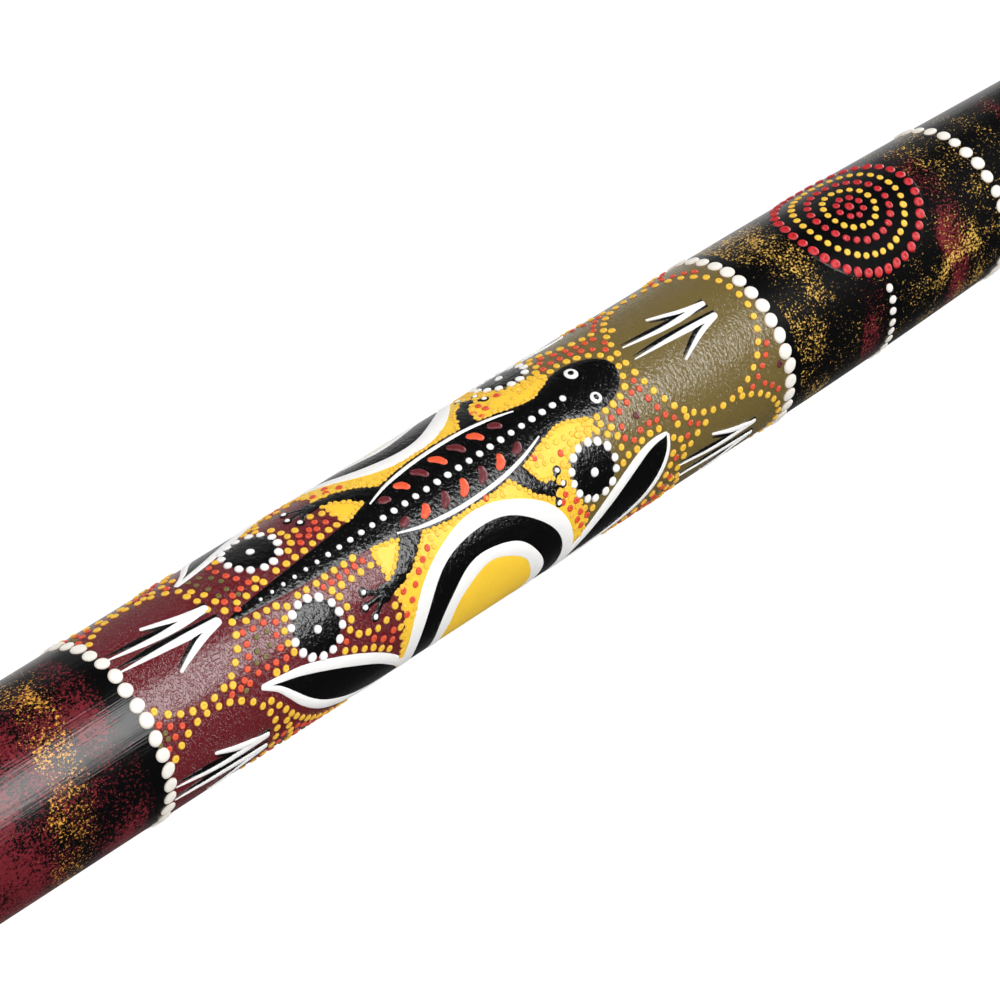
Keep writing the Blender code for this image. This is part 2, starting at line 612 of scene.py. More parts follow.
def maths(tree, operation, first, second=0.0, clamp=False):
    choices = {"operation": operation, "use_clamp": clamp}
    return add_node(tree, "Math", choices, i0=first, i1=second).outputs[0]


def mixed_colour(tree, share, first, second, blend="MIX"):
    made = tree.nodes.new("ShaderNodeMix")
    made.data_type = "RGBA"
    made.blend_type = blend
    feed(tree, made.inputs[0], share)
    feed(tree, made.inputs[6], first)
    feed(tree, made.inputs[7], second)
    return made.outputs[2]


def stretched_place(tree, stretch):
    """The place on the object, shortened along the tube so that what it feeds grows longer there."""
    place = add_node(tree, "TexCoord").outputs["Object"]
    split = add_node(tree, "SeparateXYZ", Vector=place)
    along = maths(tree, "DIVIDE", split.outputs["Z"], stretch)
    joined = add_node(tree, "CombineXYZ", X=split.outputs["X"], Y=split.outputs["Y"], Z=along)
    return joined.outputs["Vector"]


def pebble_group():
    """Height of thick paint that dried with a leathery surface: low cushions and narrow wrinkles."""
    group, given, result = new_group(
        "pebbled_paint",
        [("Size", "Float", 0.0015), ("Stretch", "Float", 1.0), ("Wrinkle", "Float", 0.35),
         ("Swell", "Float", 0.9)],
        [("Height", "Float")])
    place = stretched_place(group, given.outputs["Stretch"])
    scale = maths(group, "DIVIDE", 1.0, given.outputs["Size"])
    folds = add_node(group, "TexNoise", Vector=place, Scale=scale, Detail=0.6)
    from_fold = maths(group, "ABSOLUTE", maths(group, "SUBTRACT", folds.outputs["Fac"], 0.5))
    wrinkle = add_node(group, "MapRange", {"interpolation_type": "SMOOTHSTEP"},
                       Value=from_fold, i1=0.0, i2=0.075, i3=0.0, i4=1.0)
    swell = add_node(group, "TexNoise", Vector=place, Detail=1.0,
                     Scale=maths(group, "MULTIPLY", scale, 0.95))
    low = maths(group, "MULTIPLY", wrinkle.outputs[0], given.outputs["Wrinkle"])
    high = maths(group, "MULTIPLY", swell.outputs["Fac"], given.outputs["Swell"])
    group.links.new(maths(group, "ADD", low, high), result.inputs["Height"])
    return group


def streak_group():
    """Height of fine brush streaks that run along the tube."""
    group, given, result = new_group(
        "brush_streaks", [("Width", "Float", 0.0005), ("Length", "Float", 40.0)], [("Height", "Float")])
    place = stretched_place(group, given.outputs["Length"])
    scale = maths(group, "DIVIDE", 1.0, given.outputs["Width"])
    lines = add_node(group, "TexNoise", Vector=place, Scale=scale, Detail=2.0, Roughness=0.6)
    group.links.new(lines.outputs["Fac"], result.inputs["Height"])
    return group


def print_group():
    """Mask of a sponged or spattered print between two heights of the tube.

    The print gathers in bands round the tube, one every Period, tilted to one side.
    """
    group, given, result = new_group(
        "sponge_print",
        [("Low", "Float", 0.0), ("High", "Float", 1.0), ("Fade", "Float", 0.02), ("Grain", "Float", 0.0009),
         ("Stretch", "Float", 1.4), ("Cover", "Float", 0.5), ("Between", "Float", 0.5),
         ("Patch", "Float", 0.03), ("Period", "Float", 0.036), ("Middle", "Float", 0.0),
         ("Width", "Float", 0.5), ("Tilt", "Float", 0.25), ("Seed", "Float", 0.0)],
        [("Mask", "Float")])
    place = add_node(group, "TexCoord").outputs["Object"]
    split = add_node(group, "SeparateXYZ", Vector=place)
    height = split.outputs["Z"]
    rise = maths(group, "DIVIDE", maths(group, "SUBTRACT", height, given.outputs["Low"]),
                 given.outputs["Fade"], clamp=True)
    fall = maths(group, "DIVIDE", maths(group, "SUBTRACT", given.outputs["High"], height),
                 given.outputs["Fade"], clamp=True)
    zone = maths(group, "MULTIPLY", rise, fall)
    patch = add_node(group, "TexNoise", {"noise_dimensions": "4D"}, Vector=place, W=given.outputs["Seed"],
                     Scale=maths(group, "DIVIDE", 1.0, given.outputs["Patch"]), Detail=2.5)
    wander = maths(group, "MULTIPLY", maths(group, "SUBTRACT", patch.outputs["Fac"], 0.5), 0.03)
    tilted = maths(group, "ADD", height, maths(group, "MULTIPLY", split.outputs["X"], given.outputs["Tilt"]))
    from_middle = maths(group, "SUBTRACT", maths(group, "ADD", tilted, wander), given.outputs["Middle"])
    turns = maths(group, "DIVIDE", from_middle, given.outputs["Period"])
    off = maths(group, "ABSOLUTE", maths(group, "SUBTRACT", turns, maths(group, "ROUND", turns)))
    soft = maths(group, "DIVIDE", maths(group, "SUBTRACT", given.outputs["Width"], off), 0.16)
    banded = maths(group, "ADD", soft, 0.5, clamp=True)
    cover = add_node(group, "MapRange", Value=banded, i3=given.outputs["Between"], i4=given.outputs["Cover"])
    cloud = add_node(group, "MapRange", Value=patch.outputs["Fac"], i1=0.38, i2=0.66, i3=0.42, i4=1.15)
    thick = maths(group, "MULTIPLY", zone, maths(group, "MULTIPLY", cover.outputs[0], cloud.outputs[0]))
    grain = add_node(group, "TexNoise", {"noise_dimensions": "4D"},
                     Vector=stretched_place(group, given.outputs["Stretch"]),
                     W=maths(group, "ADD", given.outputs["Seed"], 7.0),
                     Scale=maths(group, "DIVIDE", 1.0, given.outputs["Grain"]), Detail=3.0, Roughness=0.7)
    edge = maths(group, "SUBTRACT", 0.72, maths(group, "MULTIPLY", thick, 0.36))
    over = maths(group, "MULTIPLY", maths(group, "SUBTRACT", grain.outputs["Fac"], edge), 16.0, clamp=True)
    group.links.new(over, result.inputs["Mask"])
    return group


def tone_group():
    """A paint colour that is a little thicker here and thinner there."""
    group, given, result = new_group(
        "paint_tone",
        [("Colour", "Color", (0.5, 0.5, 0.5, 1.0)), ("Patch", "Float", 0.006), ("Spread", "Float", 0.2)],
        [("Colour", "Color")])
    place = add_node(group, "TexCoord").outputs["Object"]
    patch = add_node(group, "TexNoise", Vector=place, Detail=4.0, Roughness=0.6,
                     Scale=maths(group, "DIVIDE", 1.0, given.outputs["Patch"]))
    change = maths(group, "MULTIPLY", maths(group, "SUBTRACT", patch.outputs["Fac"], 0.5),
                   given.outputs["Spread"])
    factor = maths(group, "ADD", change, 1.0)
    grey = add_node(group, "CombineColor", i0=factor, i1=factor, i2=factor).outputs[0]
    group.links.new(mixed_colour(group, 1.0, given.outputs["Colour"], grey, "MULTIPLY"),
                    result.inputs["Colour"])
    return group


GROUP_MAKERS = {"pebbled_paint": pebble_group, "brush_streaks": streak_group,
                "sponge_print": print_group, "paint_tone": tone_group}


def use_group(tree, name, **values):
    """Places a shared node group in a material with its own values, making the group the first time."""
    made = tree.nodes.new("ShaderNodeGroup")
    made.node_tree = bpy.data.node_groups.get(name) or GROUP_MAKERS[name]()
    for label, value in values.items():
        feed(tree, made.inputs[label], value)
    return made


# ---------------------------------------------------------------- materials

def new_material(name, roughness, coat=0.0, coat_roughness=0.1):
    material = bpy.data.materials.new(name)
    material.use_nodes = True
    shader = material.node_tree.nodes["Principled BSDF"]
    shader.inputs["Roughness"].default_value = roughness
    shader.inputs["Coat Weight"].default_value = coat
    shader.inputs["Coat Roughness"].default_value = coat_roughness
    return material, material.node_tree, shader


def bump(tree, shader, height, depth, strength=1.0):
    made = add_node(tree, "Bump", Strength=strength, Distance=depth, Height=height)
    tree.links.new(made.outputs["Normal"], shader.inputs["Normal"])


def opaque(colour):
    return (*colour, 1.0)


def thick_paint(name, colour, sizes, roughness=0.34, depth=1.0, stretch=1.0, spread=0.16, size=1.0,
                wrinkle=0.3, swell=0.9, shine=0.5, rim=None):
    """Brushed or dotted craft paint over the lacquer, pebbled and glossy; rim is the darker colour of a
    dot's edge and sunk middle.
    """
    material, tree, shader = new_material(name, roughness)
    shader.inputs["Specular IOR Level"].default_value = shine
    tone = use_group(tree, "paint_tone", Colour=opaque(colour), Patch=0.005, Spread=spread)
    shade = tone.outputs["Colour"]
    if rim:
        # a dot's colour turns towards the darker rim colour at its edge and in its sunk middle
        darkening = add_node(tree, "Attribute", {"attribute_name": TINT_ATTRIBUTE}).outputs["Fac"]
        shade = mixed_colour(tree, maths(tree, "MULTIPLY", darkening, 0.85), shade, opaque(rim))
    feed(tree, shader.inputs["Base Color"], shade)
    relief = use_group(tree, "pebbled_paint", Size=sizes.pebble * size, Stretch=stretch,
                       Wrinkle=wrinkle, Swell=swell)
    bump(tree, shader, relief.outputs["Height"], sizes.pebble_depth * depth)
    return material


def sponged_lacquer(name, ground, prints, sizes, roughness=0.2):
    """Streaky lacquer with sponged prints on it. A print is (colour, group values)."""
    material, tree, shader = new_material(name, roughness)
    colour = opaque(ground)
    for shade, values in prints:
        mask = use_group(tree, "sponge_print", **values).outputs["Mask"]
        tone = use_group(tree, "paint_tone", Colour=opaque(shade), Patch=0.003, Spread=0.9)
        colour = mixed_colour(tree, mask, colour, tone.outputs["Colour"])
    feed(tree, shader.inputs["Base Color"], colour)
    streaks = use_group(tree, "brush_streaks", Width=0.0007, Length=45.0)
    bump(tree, shader, streaks.outputs["Height"], sizes.streak_depth)
    return material


def hardwood(name, colour, darker):
    """Oiled hardwood with its grain along the tube."""
    material, tree, shader = new_material(name, 0.55)
    place = stretched_place(tree, 14.0)
    grain = add_node(tree, "TexNoise", Vector=place, Scale=260.0, Detail=4.0, Roughness=0.65, Distortion=0.4)
    pores = add_node(tree, "TexNoise", Vector=stretched_place(tree, 30.0), Scale=1500.0, Detail=1.0)
    shade = mixed_colour(tree, grain.outputs["Fac"], opaque(darker), opaque(colour))
    dark_pores = add_node(tree, "MapRange", Value=pores.outputs["Fac"])
    dark_pores.inputs["From Min"].default_value = 0.62
    dark_pores.inputs["From Max"].default_value = 0.7
    pored = maths(tree, "MULTIPLY", dark_pores.outputs["Result"], 0.6)
    feed(tree, shader.inputs["Base Color"], mixed_colour(tree, pored, shade, opaque(darker)))
    height = maths(tree, "SUBTRACT", grain.outputs["Fac"], pored)
    bump(tree, shader, height, 0.00025)
    return material


def beeswax(name, colour):
    """Dark wax, pressed and smoothed by hand, a little see-through at its edges."""
    material, tree, shader = new_material(name, 0.38)
    shader.inputs["Subsurface Weight"].default_value = 0.15
    shader.inputs["Subsurface Radius"].default_value = (0.004, 0.002, 0.001)
    shader.inputs["Subsurface Scale"].default_value = 0.4
    tone = use_group(tree, "paint_tone", Colour=opaque(colour), Patch=0.008, Spread=0.5)
    feed(tree, shader.inputs["Base Color"], tone.outputs["Colour"])
    relief = use_group(tree, "pebbled_paint", Size=0.0045, Wrinkle=0.1)
    bump(tree, shader, relief.outputs["Height"], 0.0004)
    return material


def settings():
    return bpy.context.scene.didgeridoo_sizes, bpy.context.scene.didgeridoo_colours


def paints():
    """The materials of the painted pieces, by colour; made once and then found again."""
    sizes, colours = settings()
    wanted = {
        "black": dict(roughness=0.2, size=1.1, depth=1.05, stretch=0.85, wrinkle=0.1, swell=1.1,
                      shine=0.65),
        # rim: the darker colour that a dot turns to at its edge and in its sunk middle
        "yellow": dict(depth=0.5, spread=0.14, rim=display(206, 136, 32)),
        "orange": dict(depth=0.5, spread=0.3, rim=display(168, 42, 28)),
        "green": dict(depth=0.5, spread=0.3, rim=display(72, 66, 30)),
        "maroon": dict(depth=0.5, spread=0.5, rim=display(60, 14, 18)),
        "white": dict(roughness=0.42, depth=0.35, spread=0.07, rim=display(214, 210, 208)),
        "cream": dict(roughness=0.45, depth=0.3, spread=0.06, rim=display(218, 206, 192)),
        "red": dict(roughness=0.35, depth=0.4, spread=0.15, rim=display(140, 14, 22)),
    }
    made = {}
    for colour, finish in wanted.items():
        name = f"paint_{colour}"
        made[colour] = bpy.data.materials.get(name) or thick_paint(
            name, getattr(colours, colour), sizes, **finish)
    return made


# ---------------------------------------------------------------- turned pieces

def turned(name, profile, material, steps=128, half=0, roughen=None):
    """Turns a closed section round the tube's axis; half is 1 or -1 for the right or left half only."""
    count = len(profile)
    sections = steps // 2 + 1 if half else steps
    corners = []
    for section in range(sections):
        turn = 2 * pi * section / steps
        for radius, height in profile:
            if roughen:
                radius, height = roughen(radius, height, turn)
            x = radius * sin(turn)
            if half:
                x = max(x, GLUE_GAP / 2) * half
            corners.append((x, -radius * cos(turn), height))
    faces = []
    for section in range(sections - 1 if half else sections):
        following = (section + 1) % sections
        for spot in range(count):
            beyond = (spot + 1) % count
            faces.append((section * count + spot, section * count + beyond,
                          following * count + beyond, following * count + spot))
    if half:
        faces.append(tuple(range(count)))
        faces.append(tuple(range((sections - 1) * count, sections * count)))
    return solid_piece(name, corners, faces, material, crease=40)


GLUE_GAP = 0.0003
SURFACE_STEP = 0.012     # height between the points of a turned surface
RIM_ROUND = 0.0015


def steps_between(low, high):
    count = max(1, ceil((high - low) / SURFACE_STEP))
    return [low + (high - low) * index / count for index in range(count + 1)]


def wood_section(skin):
    """Closed section of the wood under the lacquer."""
    heights = steps_between(RIM_ROUND, WOOD_TOP - RIM_ROUND)
    outside = [(tube_radius(height) - skin, height) for height in reversed(heights)]
    inside_wall = [(bore_radius(height), height) for height in heights]
    rim = [(BELL_RADIUS - skin - RIM_ROUND, 0.0), (BELL_BORE_RADIUS + RIM_ROUND, 0.0)]
    top = [(NECK_BORE_RADIUS + RIM_ROUND, WOOD_TOP), (NECK_RADIUS - skin - RIM_ROUND, WOOD_TOP)]
    return outside + rim + inside_wall + top


def sleeve_section(low, high, skin):
    """Closed section of a sleeve of lacquer between two heights."""
    heights = steps_between(low, high)
    outside = [(tube_radius(height), height) for height in reversed(heights)]
    under = [(tube_radius(height) - 1.2 * skin, height) for height in heights]
    return outside + under


# The lacquer's sleeves, from the bell to the neck: name, lowest height, and what covers it
SLEEVES = (
    ("bell", 0.0025, "black"),
    ("bell_print", 0.035, "low_print"),
    ("bell_upper_print", 0.118, "low_print"),
    ("lower_olive", 0.200, "olive"),
    ("lower_maroon", 0.320, "maroon"),
    ("middle_print", 0.440, "low_print"),
    ("panel_foot_print", 0.537, "low_print"),
    ("panel_foot_black", 0.6308, "black"),
    ("panel_maroon", 0.6345, "maroon"),
    ("panel_olive", 0.766, "olive"),
    ("panel_head_black", 0.8975, "black"),
    ("roundel_print", 0.9015, "high_print"),
    ("upper_print", 1.0045, "high_print"),
    ("neck", 1.100, "black"),
)
SLEEVE_TOP = WOOD_TOP - 0.0025


def sleeve_materials():
    sizes, colours = settings()
    foot = PANEL.foot
    head = PANEL.foot + PANEL_LENGTH * MM
    low_prints = [
        (colours.sponge_maroon, dict(Low=0.02, High=foot - 0.003, Fade=0.006, Grain=0.00065, Cover=0.96,
                                     Between=0.86, Patch=0.03, Stretch=1.3, Period=0.036,
                                     Middle=foot - 0.014, Width=0.3, Seed=3.1)),
        (colours.sponge_ochre, dict(Low=0.02, High=foot - 0.008, Fade=0.006, Grain=0.00076, Cover=0.62,
                                    Between=0.1, Patch=0.016, Stretch=1.2, Period=0.036,
                                    Middle=foot - 0.0305, Width=0.24, Tilt=0.28, Seed=9.4)),
    ]
    high_prints = [
        (colours.sponge_maroon, dict(Low=head + 0.024, High=1.099, Fade=0.012, Grain=0.00065, Cover=0.8,
                                     Between=0.0, Patch=0.03, Stretch=1.4, Period=0.046,
                                     Middle=head + 0.040, Width=0.14, Tilt=0.0, Seed=1.7)),
        (colours.sponge_gold, dict(Low=head + 0.0035, High=1.099, Fade=0.002, Grain=0.00072, Cover=0.56,
                                   Between=0.36, Patch=0.011, Stretch=1.2, Period=0.078,
                                   Middle=head + 0.0145, Width=0.2, Tilt=0.1, Seed=4.6)),
    ]
    return {
        "black": sponged_lacquer("lacquer_black", colours.black, [], sizes),
        "low_print": sponged_lacquer("lacquer_low_print", colours.black, low_prints, sizes),
        "high_print": sponged_lacquer("lacquer_high_print", colours.black, high_prints, sizes),
        "maroon": thick_paint("ground_maroon", colours.maroon, sizes, roughness=0.2, size=1.05,
                              depth=0.72, stretch=0.7, wrinkle=0.45, swell=0.85, shine=0.75),
        "olive": thick_paint("ground_olive", colours.olive, sizes, roughness=0.18, depth=0.9, stretch=0.8,
                             wrinkle=0.15, swell=1.1, shine=0.85),
    }


# ---------------------------------------------------------------- what is painted on the main panel

SUN = (130.0, 49.5)
SUN_RADII = dict(yellow=18.3, white=22.9, black=30.9, edge=36.0)
SUN_POINTS = 120
DISCS = ((64.0, 16.3), (177.5, 24.6))
DISC_RADIUS = 8.3
LOW_ARCHES = [(19.5, -5.5 + ARCH_STEP * index) for index in range(4)]
LOW_ARCH_RADIUS = 22.4
HIGH_ARCHES = [(234.5, 3.8, 27.6)] + [(234.5, 53.6 + 44.4 * index, 22.1) for index in range(3)]
HIGH_ARCH_LENGTH = 25.6

# Leaves: the edge nearer the centre line, then the other edge, both from the outer tip
LEAVES = (
    ([(38.5, 22.3), (46, 23.4), (55, 25.2), (65, 28.6), (75, 33), (85, 39), (92, 46), (96, 53), (98, 60)],
     [(38.5, 22.3), (44, 26), (47.5, 30.5), (52, 36.5), (58, 42.5), (65, 47.5), (74, 52.5), (84, 56.5),
      (98, 60)]),
    ([(209, 28.3), (203, 27.8), (197, 28.8), (190, 31.7), (183, 35.4), (176, 40), (170, 45), (165.5, 50.5),
      (163, 57)],
     [(209, 28.3), (208.3, 33.5), (206, 38.7), (202, 44), (197, 48.4), (190, 52), (182, 54.6), (172, 56.6),
      (163, 57)]),
)

# The lizard, the same on both sides of the centre line: place up the tube and half width, from the
# tip of the tail to the nose; then its legs, front after back, with their widths
LIZARD_HALF = [(39.5, 0), (43, 1), (52, 2), (66, 3.3), (82, 4.6), (95, 5.8), (104, 8), (114, 10.8),
               (128, 12.4), (144, 12.2), (156, 10.4), (166, 7.6), (173, 6), (179, 7.2), (186, 9.6),
               (193, 9.8), (200, 7.4), (204.2, 3.6), (205.4, 0)]
LEGS = (([(109, 7), (103, 13.5), (97.5, 17.4), (90, 19.4)], (8.5, 6.6, 5.0, 4.2)),
        ([(149, 7.5), (152.6, 13.6), (155.4, 18.6), (160, 21.6)], (7.5, 6.0, 4.6, 3.8)))
TOES = (((83.4, 15.4), (81.8, 19.6), (84.0, 24.0)), ((164.6, 17.8), (164.6, 22.2), (161.0, 27.0)))
PAW_RADIUS = 2.9
TOE_RADIUS = 1.6
EYE = (191.5, 5.8)
FLANK_STRIPES = [108.0 + 8.0 * index for index in range(7)]
SPINE_STEP = 4.6


def closed_leaf(leaf):
    """One closed outline made of a leaf's two edges."""
    near, far = leaf
    return smooth_path(near)[:-1] + smooth_path(far)[::-1][:-1]


def limb_outline(points, widths):
    """A closed outline round a smooth path; the widths are spread evenly along it."""
    path = smooth_path(points)
    last = len(path) - 1
    edges = ([], [])
    for index, (up, side) in enumerate(path):
        share = index / last * (len(widths) - 1)
        step = min(int(share), len(widths) - 2)
        half = (widths[step] + (widths[step + 1] - widths[step]) * (share - step)) / 2
        before, after = path[max(index - 1, 0)], path[min(index + 1, last)]
        run = (after[0] - before[0], after[1] - before[1])
        length = hypot(*run)
        for turn, edge in zip((1, -1), edges):
            edge.append((up - turn * run[1] / length * half, side + turn * run[0] / length * half))
    return edges[0] + edges[1][::-1]


def lizard_shapes():
    """Closed outlines of the lizard: its body, then its legs and paws on both sides."""
    limbs = []
    for points, widths in LEGS:
        limbs.append(limb_outline(points, widths))
        limbs.append(circle(points[-1], PAW_RADIUS))
    return [outline(LIZARD_HALF, mirrored(LIZARD_HALF))] + limbs + [mirrored(limb) for limb in limbs]


def toe_shapes():
    """Round outlines of the lizard's toes, on both sides."""
    return [circle((up, side * turn), TOE_RADIUS) for toes in TOES for up, side in toes for turn in (1, -1)]


def yellow_ground():
    """The right half of the yellow ground; it meets its mirror image at the centre and back lines."""
    foot = [(93.6, 0), (93.2, 16), (94.6, 26), (93.6, 36), (92.6, 47), (95, 60), (93.5, 76),
            (94.4, BACK_LINE)]
    head = [(165, BACK_LINE), (166, 78), (164.6, 62), (164.8, 50), (170.5, 40.5), (169.4, 32), (167.4, 25),
            (170, 17.4), (176.5, 14.6), (184, 13.6), (184.5, 8), (184.5, 0)]
    return outline(foot, [foot[-1], head[0]], head, [head[-1], foot[0]], step=1.2)


def arch_outline(arch):
    return arc(arch, LOW_ARCH_RADIUS, -136, 136)


def high_arch_outline(arch):
    up, side, half_width = arch
    return arc((up, side), HIGH_ARCH_LENGTH, 0, 360, squash=half_width / HIGH_ARCH_LENGTH)[:-1]


def claw_marks(foot, tip, middle, spread):
    """Two bird tracks side by side: for each, the long toe and the short toe, from their shared tip."""
    reach = tip - foot
    tracks = []
    for turn in (1, -1):
        top = (tip, middle + turn * 2.8)
        long_toe = [top, (foot + reach * 0.5, middle + turn * 2.2 - spread),
                    (foot, middle + turn * 2.9 - 3 * spread)]
        short_toe = [top, (tip - reach * 0.28, middle + turn * 5.2),
                     (tip - reach * 0.58, middle + turn * 9.6)]
        tracks.append((long_toe, short_toe))
    return tracks


# Regions of the ground that are filled with rows of dots: outline, then the rows' colours from outside in
HIGH_OUTER = [(210.8, 31), (214.4, 34.6), (213, 41), (212.6, 47), (213, 55), (205, 62), (194, 64), (186, 60),
              (193, 55.4), (200, 50.4), (205.4, 45), (209, 38.6)]
RIGHT_REGIONS = (
    ([(27.5, 18.6), (33, 22.6), (39, 20.8), (46, 21), (53.6, 22.4), (53, 18), (52.8, 14), (54.5, 10.4),
      (57.5, 7.4), (60, 4.8), (56, 4.1), (51, 3.6), (45.5, 3), (40.4, 2.2), (38.8, 5), (37.2, 9.3),
      (33.5, 14), (29.5, 17)], ("yellow", "orange", "green", "green")),
    ([(67, 25.8), (75, 30.2), (82, 34), (88, 38.6), (92.6, 44), (92.4, 37), (92, 30), (92, 24), (91.6, 18.8),
      (89.5, 25), (86, 27.8), (80, 27), (75.5, 25), (72.6, 21.6)], ("yellow", "orange", "green")),
    ([(64, 5), (71, 8.8), (76, 9.9), (84, 9.9), (92, 9.6), (94.4, 7.4), (93.6, 4.7), (88, 5), (82, 5),
      (75, 5.1), (70, 5.4)], ("yellow",)),
    ([(183.6, 11.2), (190, 11), (198, 10), (203.6, 7), (206, 1.4), (209, 4), (209.4, 10), (211, 16.5),
      (214, 22.5), (218.5, 28), (213, 27.4), (207, 25.4), (200, 25), (193, 27.6), (190, 22.6), (190.6, 17.4),
      (187, 13.4)], ("yellow", "orange")),
    (HIGH_OUTER, ("yellow", "orange", "orange")),
    ([(40.4, 28), (44, 32.4), (47, 36.6), (51, 41.8), (57, 47.6), (64, 52.6), (74, 57), (66, 64), (54, 62),
      (50, 54), (48.6, 48), (46.4, 41), (43.6, 34.4)], ("yellow", "orange", "green")),
)
LEFT_REGIONS = (
    ([(37.8, -7), (40.4, -2.4), (46, -3.2), (52, -3.8), (59.6, -4.8), (57, -8.4), (54.6, -13), (53.4, -18.5),
      (54, -23), (48, -24.6), (40, -27), (33, -27.4), (28, -26.4), (32, -22.5), (35.5, -18.5),
      (37.6, -13)], ("yellow", "orange", "green")),
    ([(67, -25.8), (75, -30.2), (82, -34), (88, -38.6), (92.6, -44), (92.4, -37), (92, -32), (90, -30.4),
      (80, -30), (75.5, -28), (72.6, -24.6)], ("yellow", "orange", "green")),
    ([(64, -5), (69, -5.2), (76, -5.6), (82, -6.2), (88, -6.8), (94, -7.4), (91.4, -13), (87.5, -15.4),
      (81.5, -13.6), (77, -14.6), (75, -10.4), (70, -7.6)], ("yellow", "orange", "orange")),
    ([(184, -11.6), (192, -11.8), (199, -9.8), (204.8, -5.6), (206.8, -1), (209.4, -3.5), (213, -8),
      (217, -13.4), (213, -15.6), (205, -17), (197, -20.4), (191, -24.6), (187, -19.4)],
     ("yellow", "orange", "orange")),
    (flipped(HIGH_OUTER), ("yellow", "orange", "orange")),
    ([(40.4, -31), (44, -35), (47, -39), (51, -43), (57, -47.6), (64, -52.6), (74, -57), (66, -64),
      (54, -62), (50, -56), (48.6, -50), (46.4, -43), (43.6, -37)], ("yellow", "orange", "green")),
)
YELLOW_REGIONS = (
    ([(95, 45), (95, 33), (95.5, 22), (100, 19), (106, 13.6), (114, 13.4), (127, 13), (136, 12.4),
      (143, 14.6), (148, 18.8), (152, 22.8), (146, 20), (138, 14.6), (128, 13.8), (116, 17), (106, 24),
      (99, 34), (96, 44)]),
    ([(157, 26.6), (161, 25.4), (166, 17), (169, 19), (167, 24), (169, 31), (170, 38), (164.4, 46.6),
      (163.6, 38), (160.4, 30)]),
    ([(151.6, 8), (152, 5), (156.4, 5.2), (160.6, 7.4), (165, 9.6), (176, 11), (183, 11), (183, 13),
      (174, 13.6), (168, 14.6), (160, 13.4), (155, 10.6)]),
)
ORANGE_SPOTS = ((95.2, 29.6), (98.4, 26.2), (96.4, 22), (101.4, 22.6), (104, 19.6), (107, 17.4),
                (110.4, 15.2), (137.2, 12.6), (168.6, 40), (167, 36.6), (171, 37.4), (168.4, 34.6),
                (164.6, 31.2), (166.4, 32.6), (162.6, 27.8), (165.2, 28.8), (164.4, 25.8), (163.4, 34.4),
                (161.6, 30.6), (164.6, 38), (167.6, 30), (162.4, 39.6), (169, 14.2), (152.8, 8.4),
                (154.6, 5.8), (157, 9), (159.6, 10.6))
LEFT_ORANGE_SPOTS = ((152.6, -11.4), (157, -11), (152.4, -15), (156.4, -14.6), (161, -13.4), (154, -18),
                     (158, -18.4), (160.6, -16.4), (164.4, -17.6), (168, -16), (162, -20.6), (96, -24),
                     (99.6, -21.6), (103.6, -20), (101.4, -24.6), (105.4, -23.4), (109, -22.6), (137.2, -21))
MAROON_SPOTS = ((200.4, 17.4), (260.4, 30.6), (201, -17))
DOT_SPACING = 3.9        # along a row of fine dots
ROW_STEP = 3.4           # from one row round a disc to the next
ARCH_ROW_STEP = 3.5
DISC_ROW = 3.9           # from a disc's edge to its first row
DISC_CLEAR = 2.6         # kept clear of dots round a disc or the tip of a leaf
RING_STEP = 5.5
SMALL_RING_STEP = 4.35
SMALL_RING_UP = 314.0
HIGH_RING_UP = 372.0


def panel_shapes():
    """Everything painted on the panel that no dot may cover, a little larger than it is."""
    shapes = []
    for turn in (1, -1):
        shapes.append(circle((SUN[0], SUN[1] * turn), SUN_RADII["edge"] + 1.4))
        for centre in DISCS:
            shapes.append(circle((centre[0], centre[1] * turn), DISC_RADIUS + DISC_CLEAR))
        for leaf in LEAVES:
            grown = inset(closed_leaf(leaf), -2.0)
            shapes.append(grown if turn > 0 else mirrored(grown))
            for tip in (leaf[0][0], leaf[0][-1]):
                shapes.append(circle((tip[0], tip[1] * turn), DISC_CLEAR))
    for centre in BACK_DISCS:
        shapes.append(circle(centre, DISC_RADIUS + DISC_CLEAR))
    shapes.extend(lizard_shapes() + toe_shapes())
    return shapes


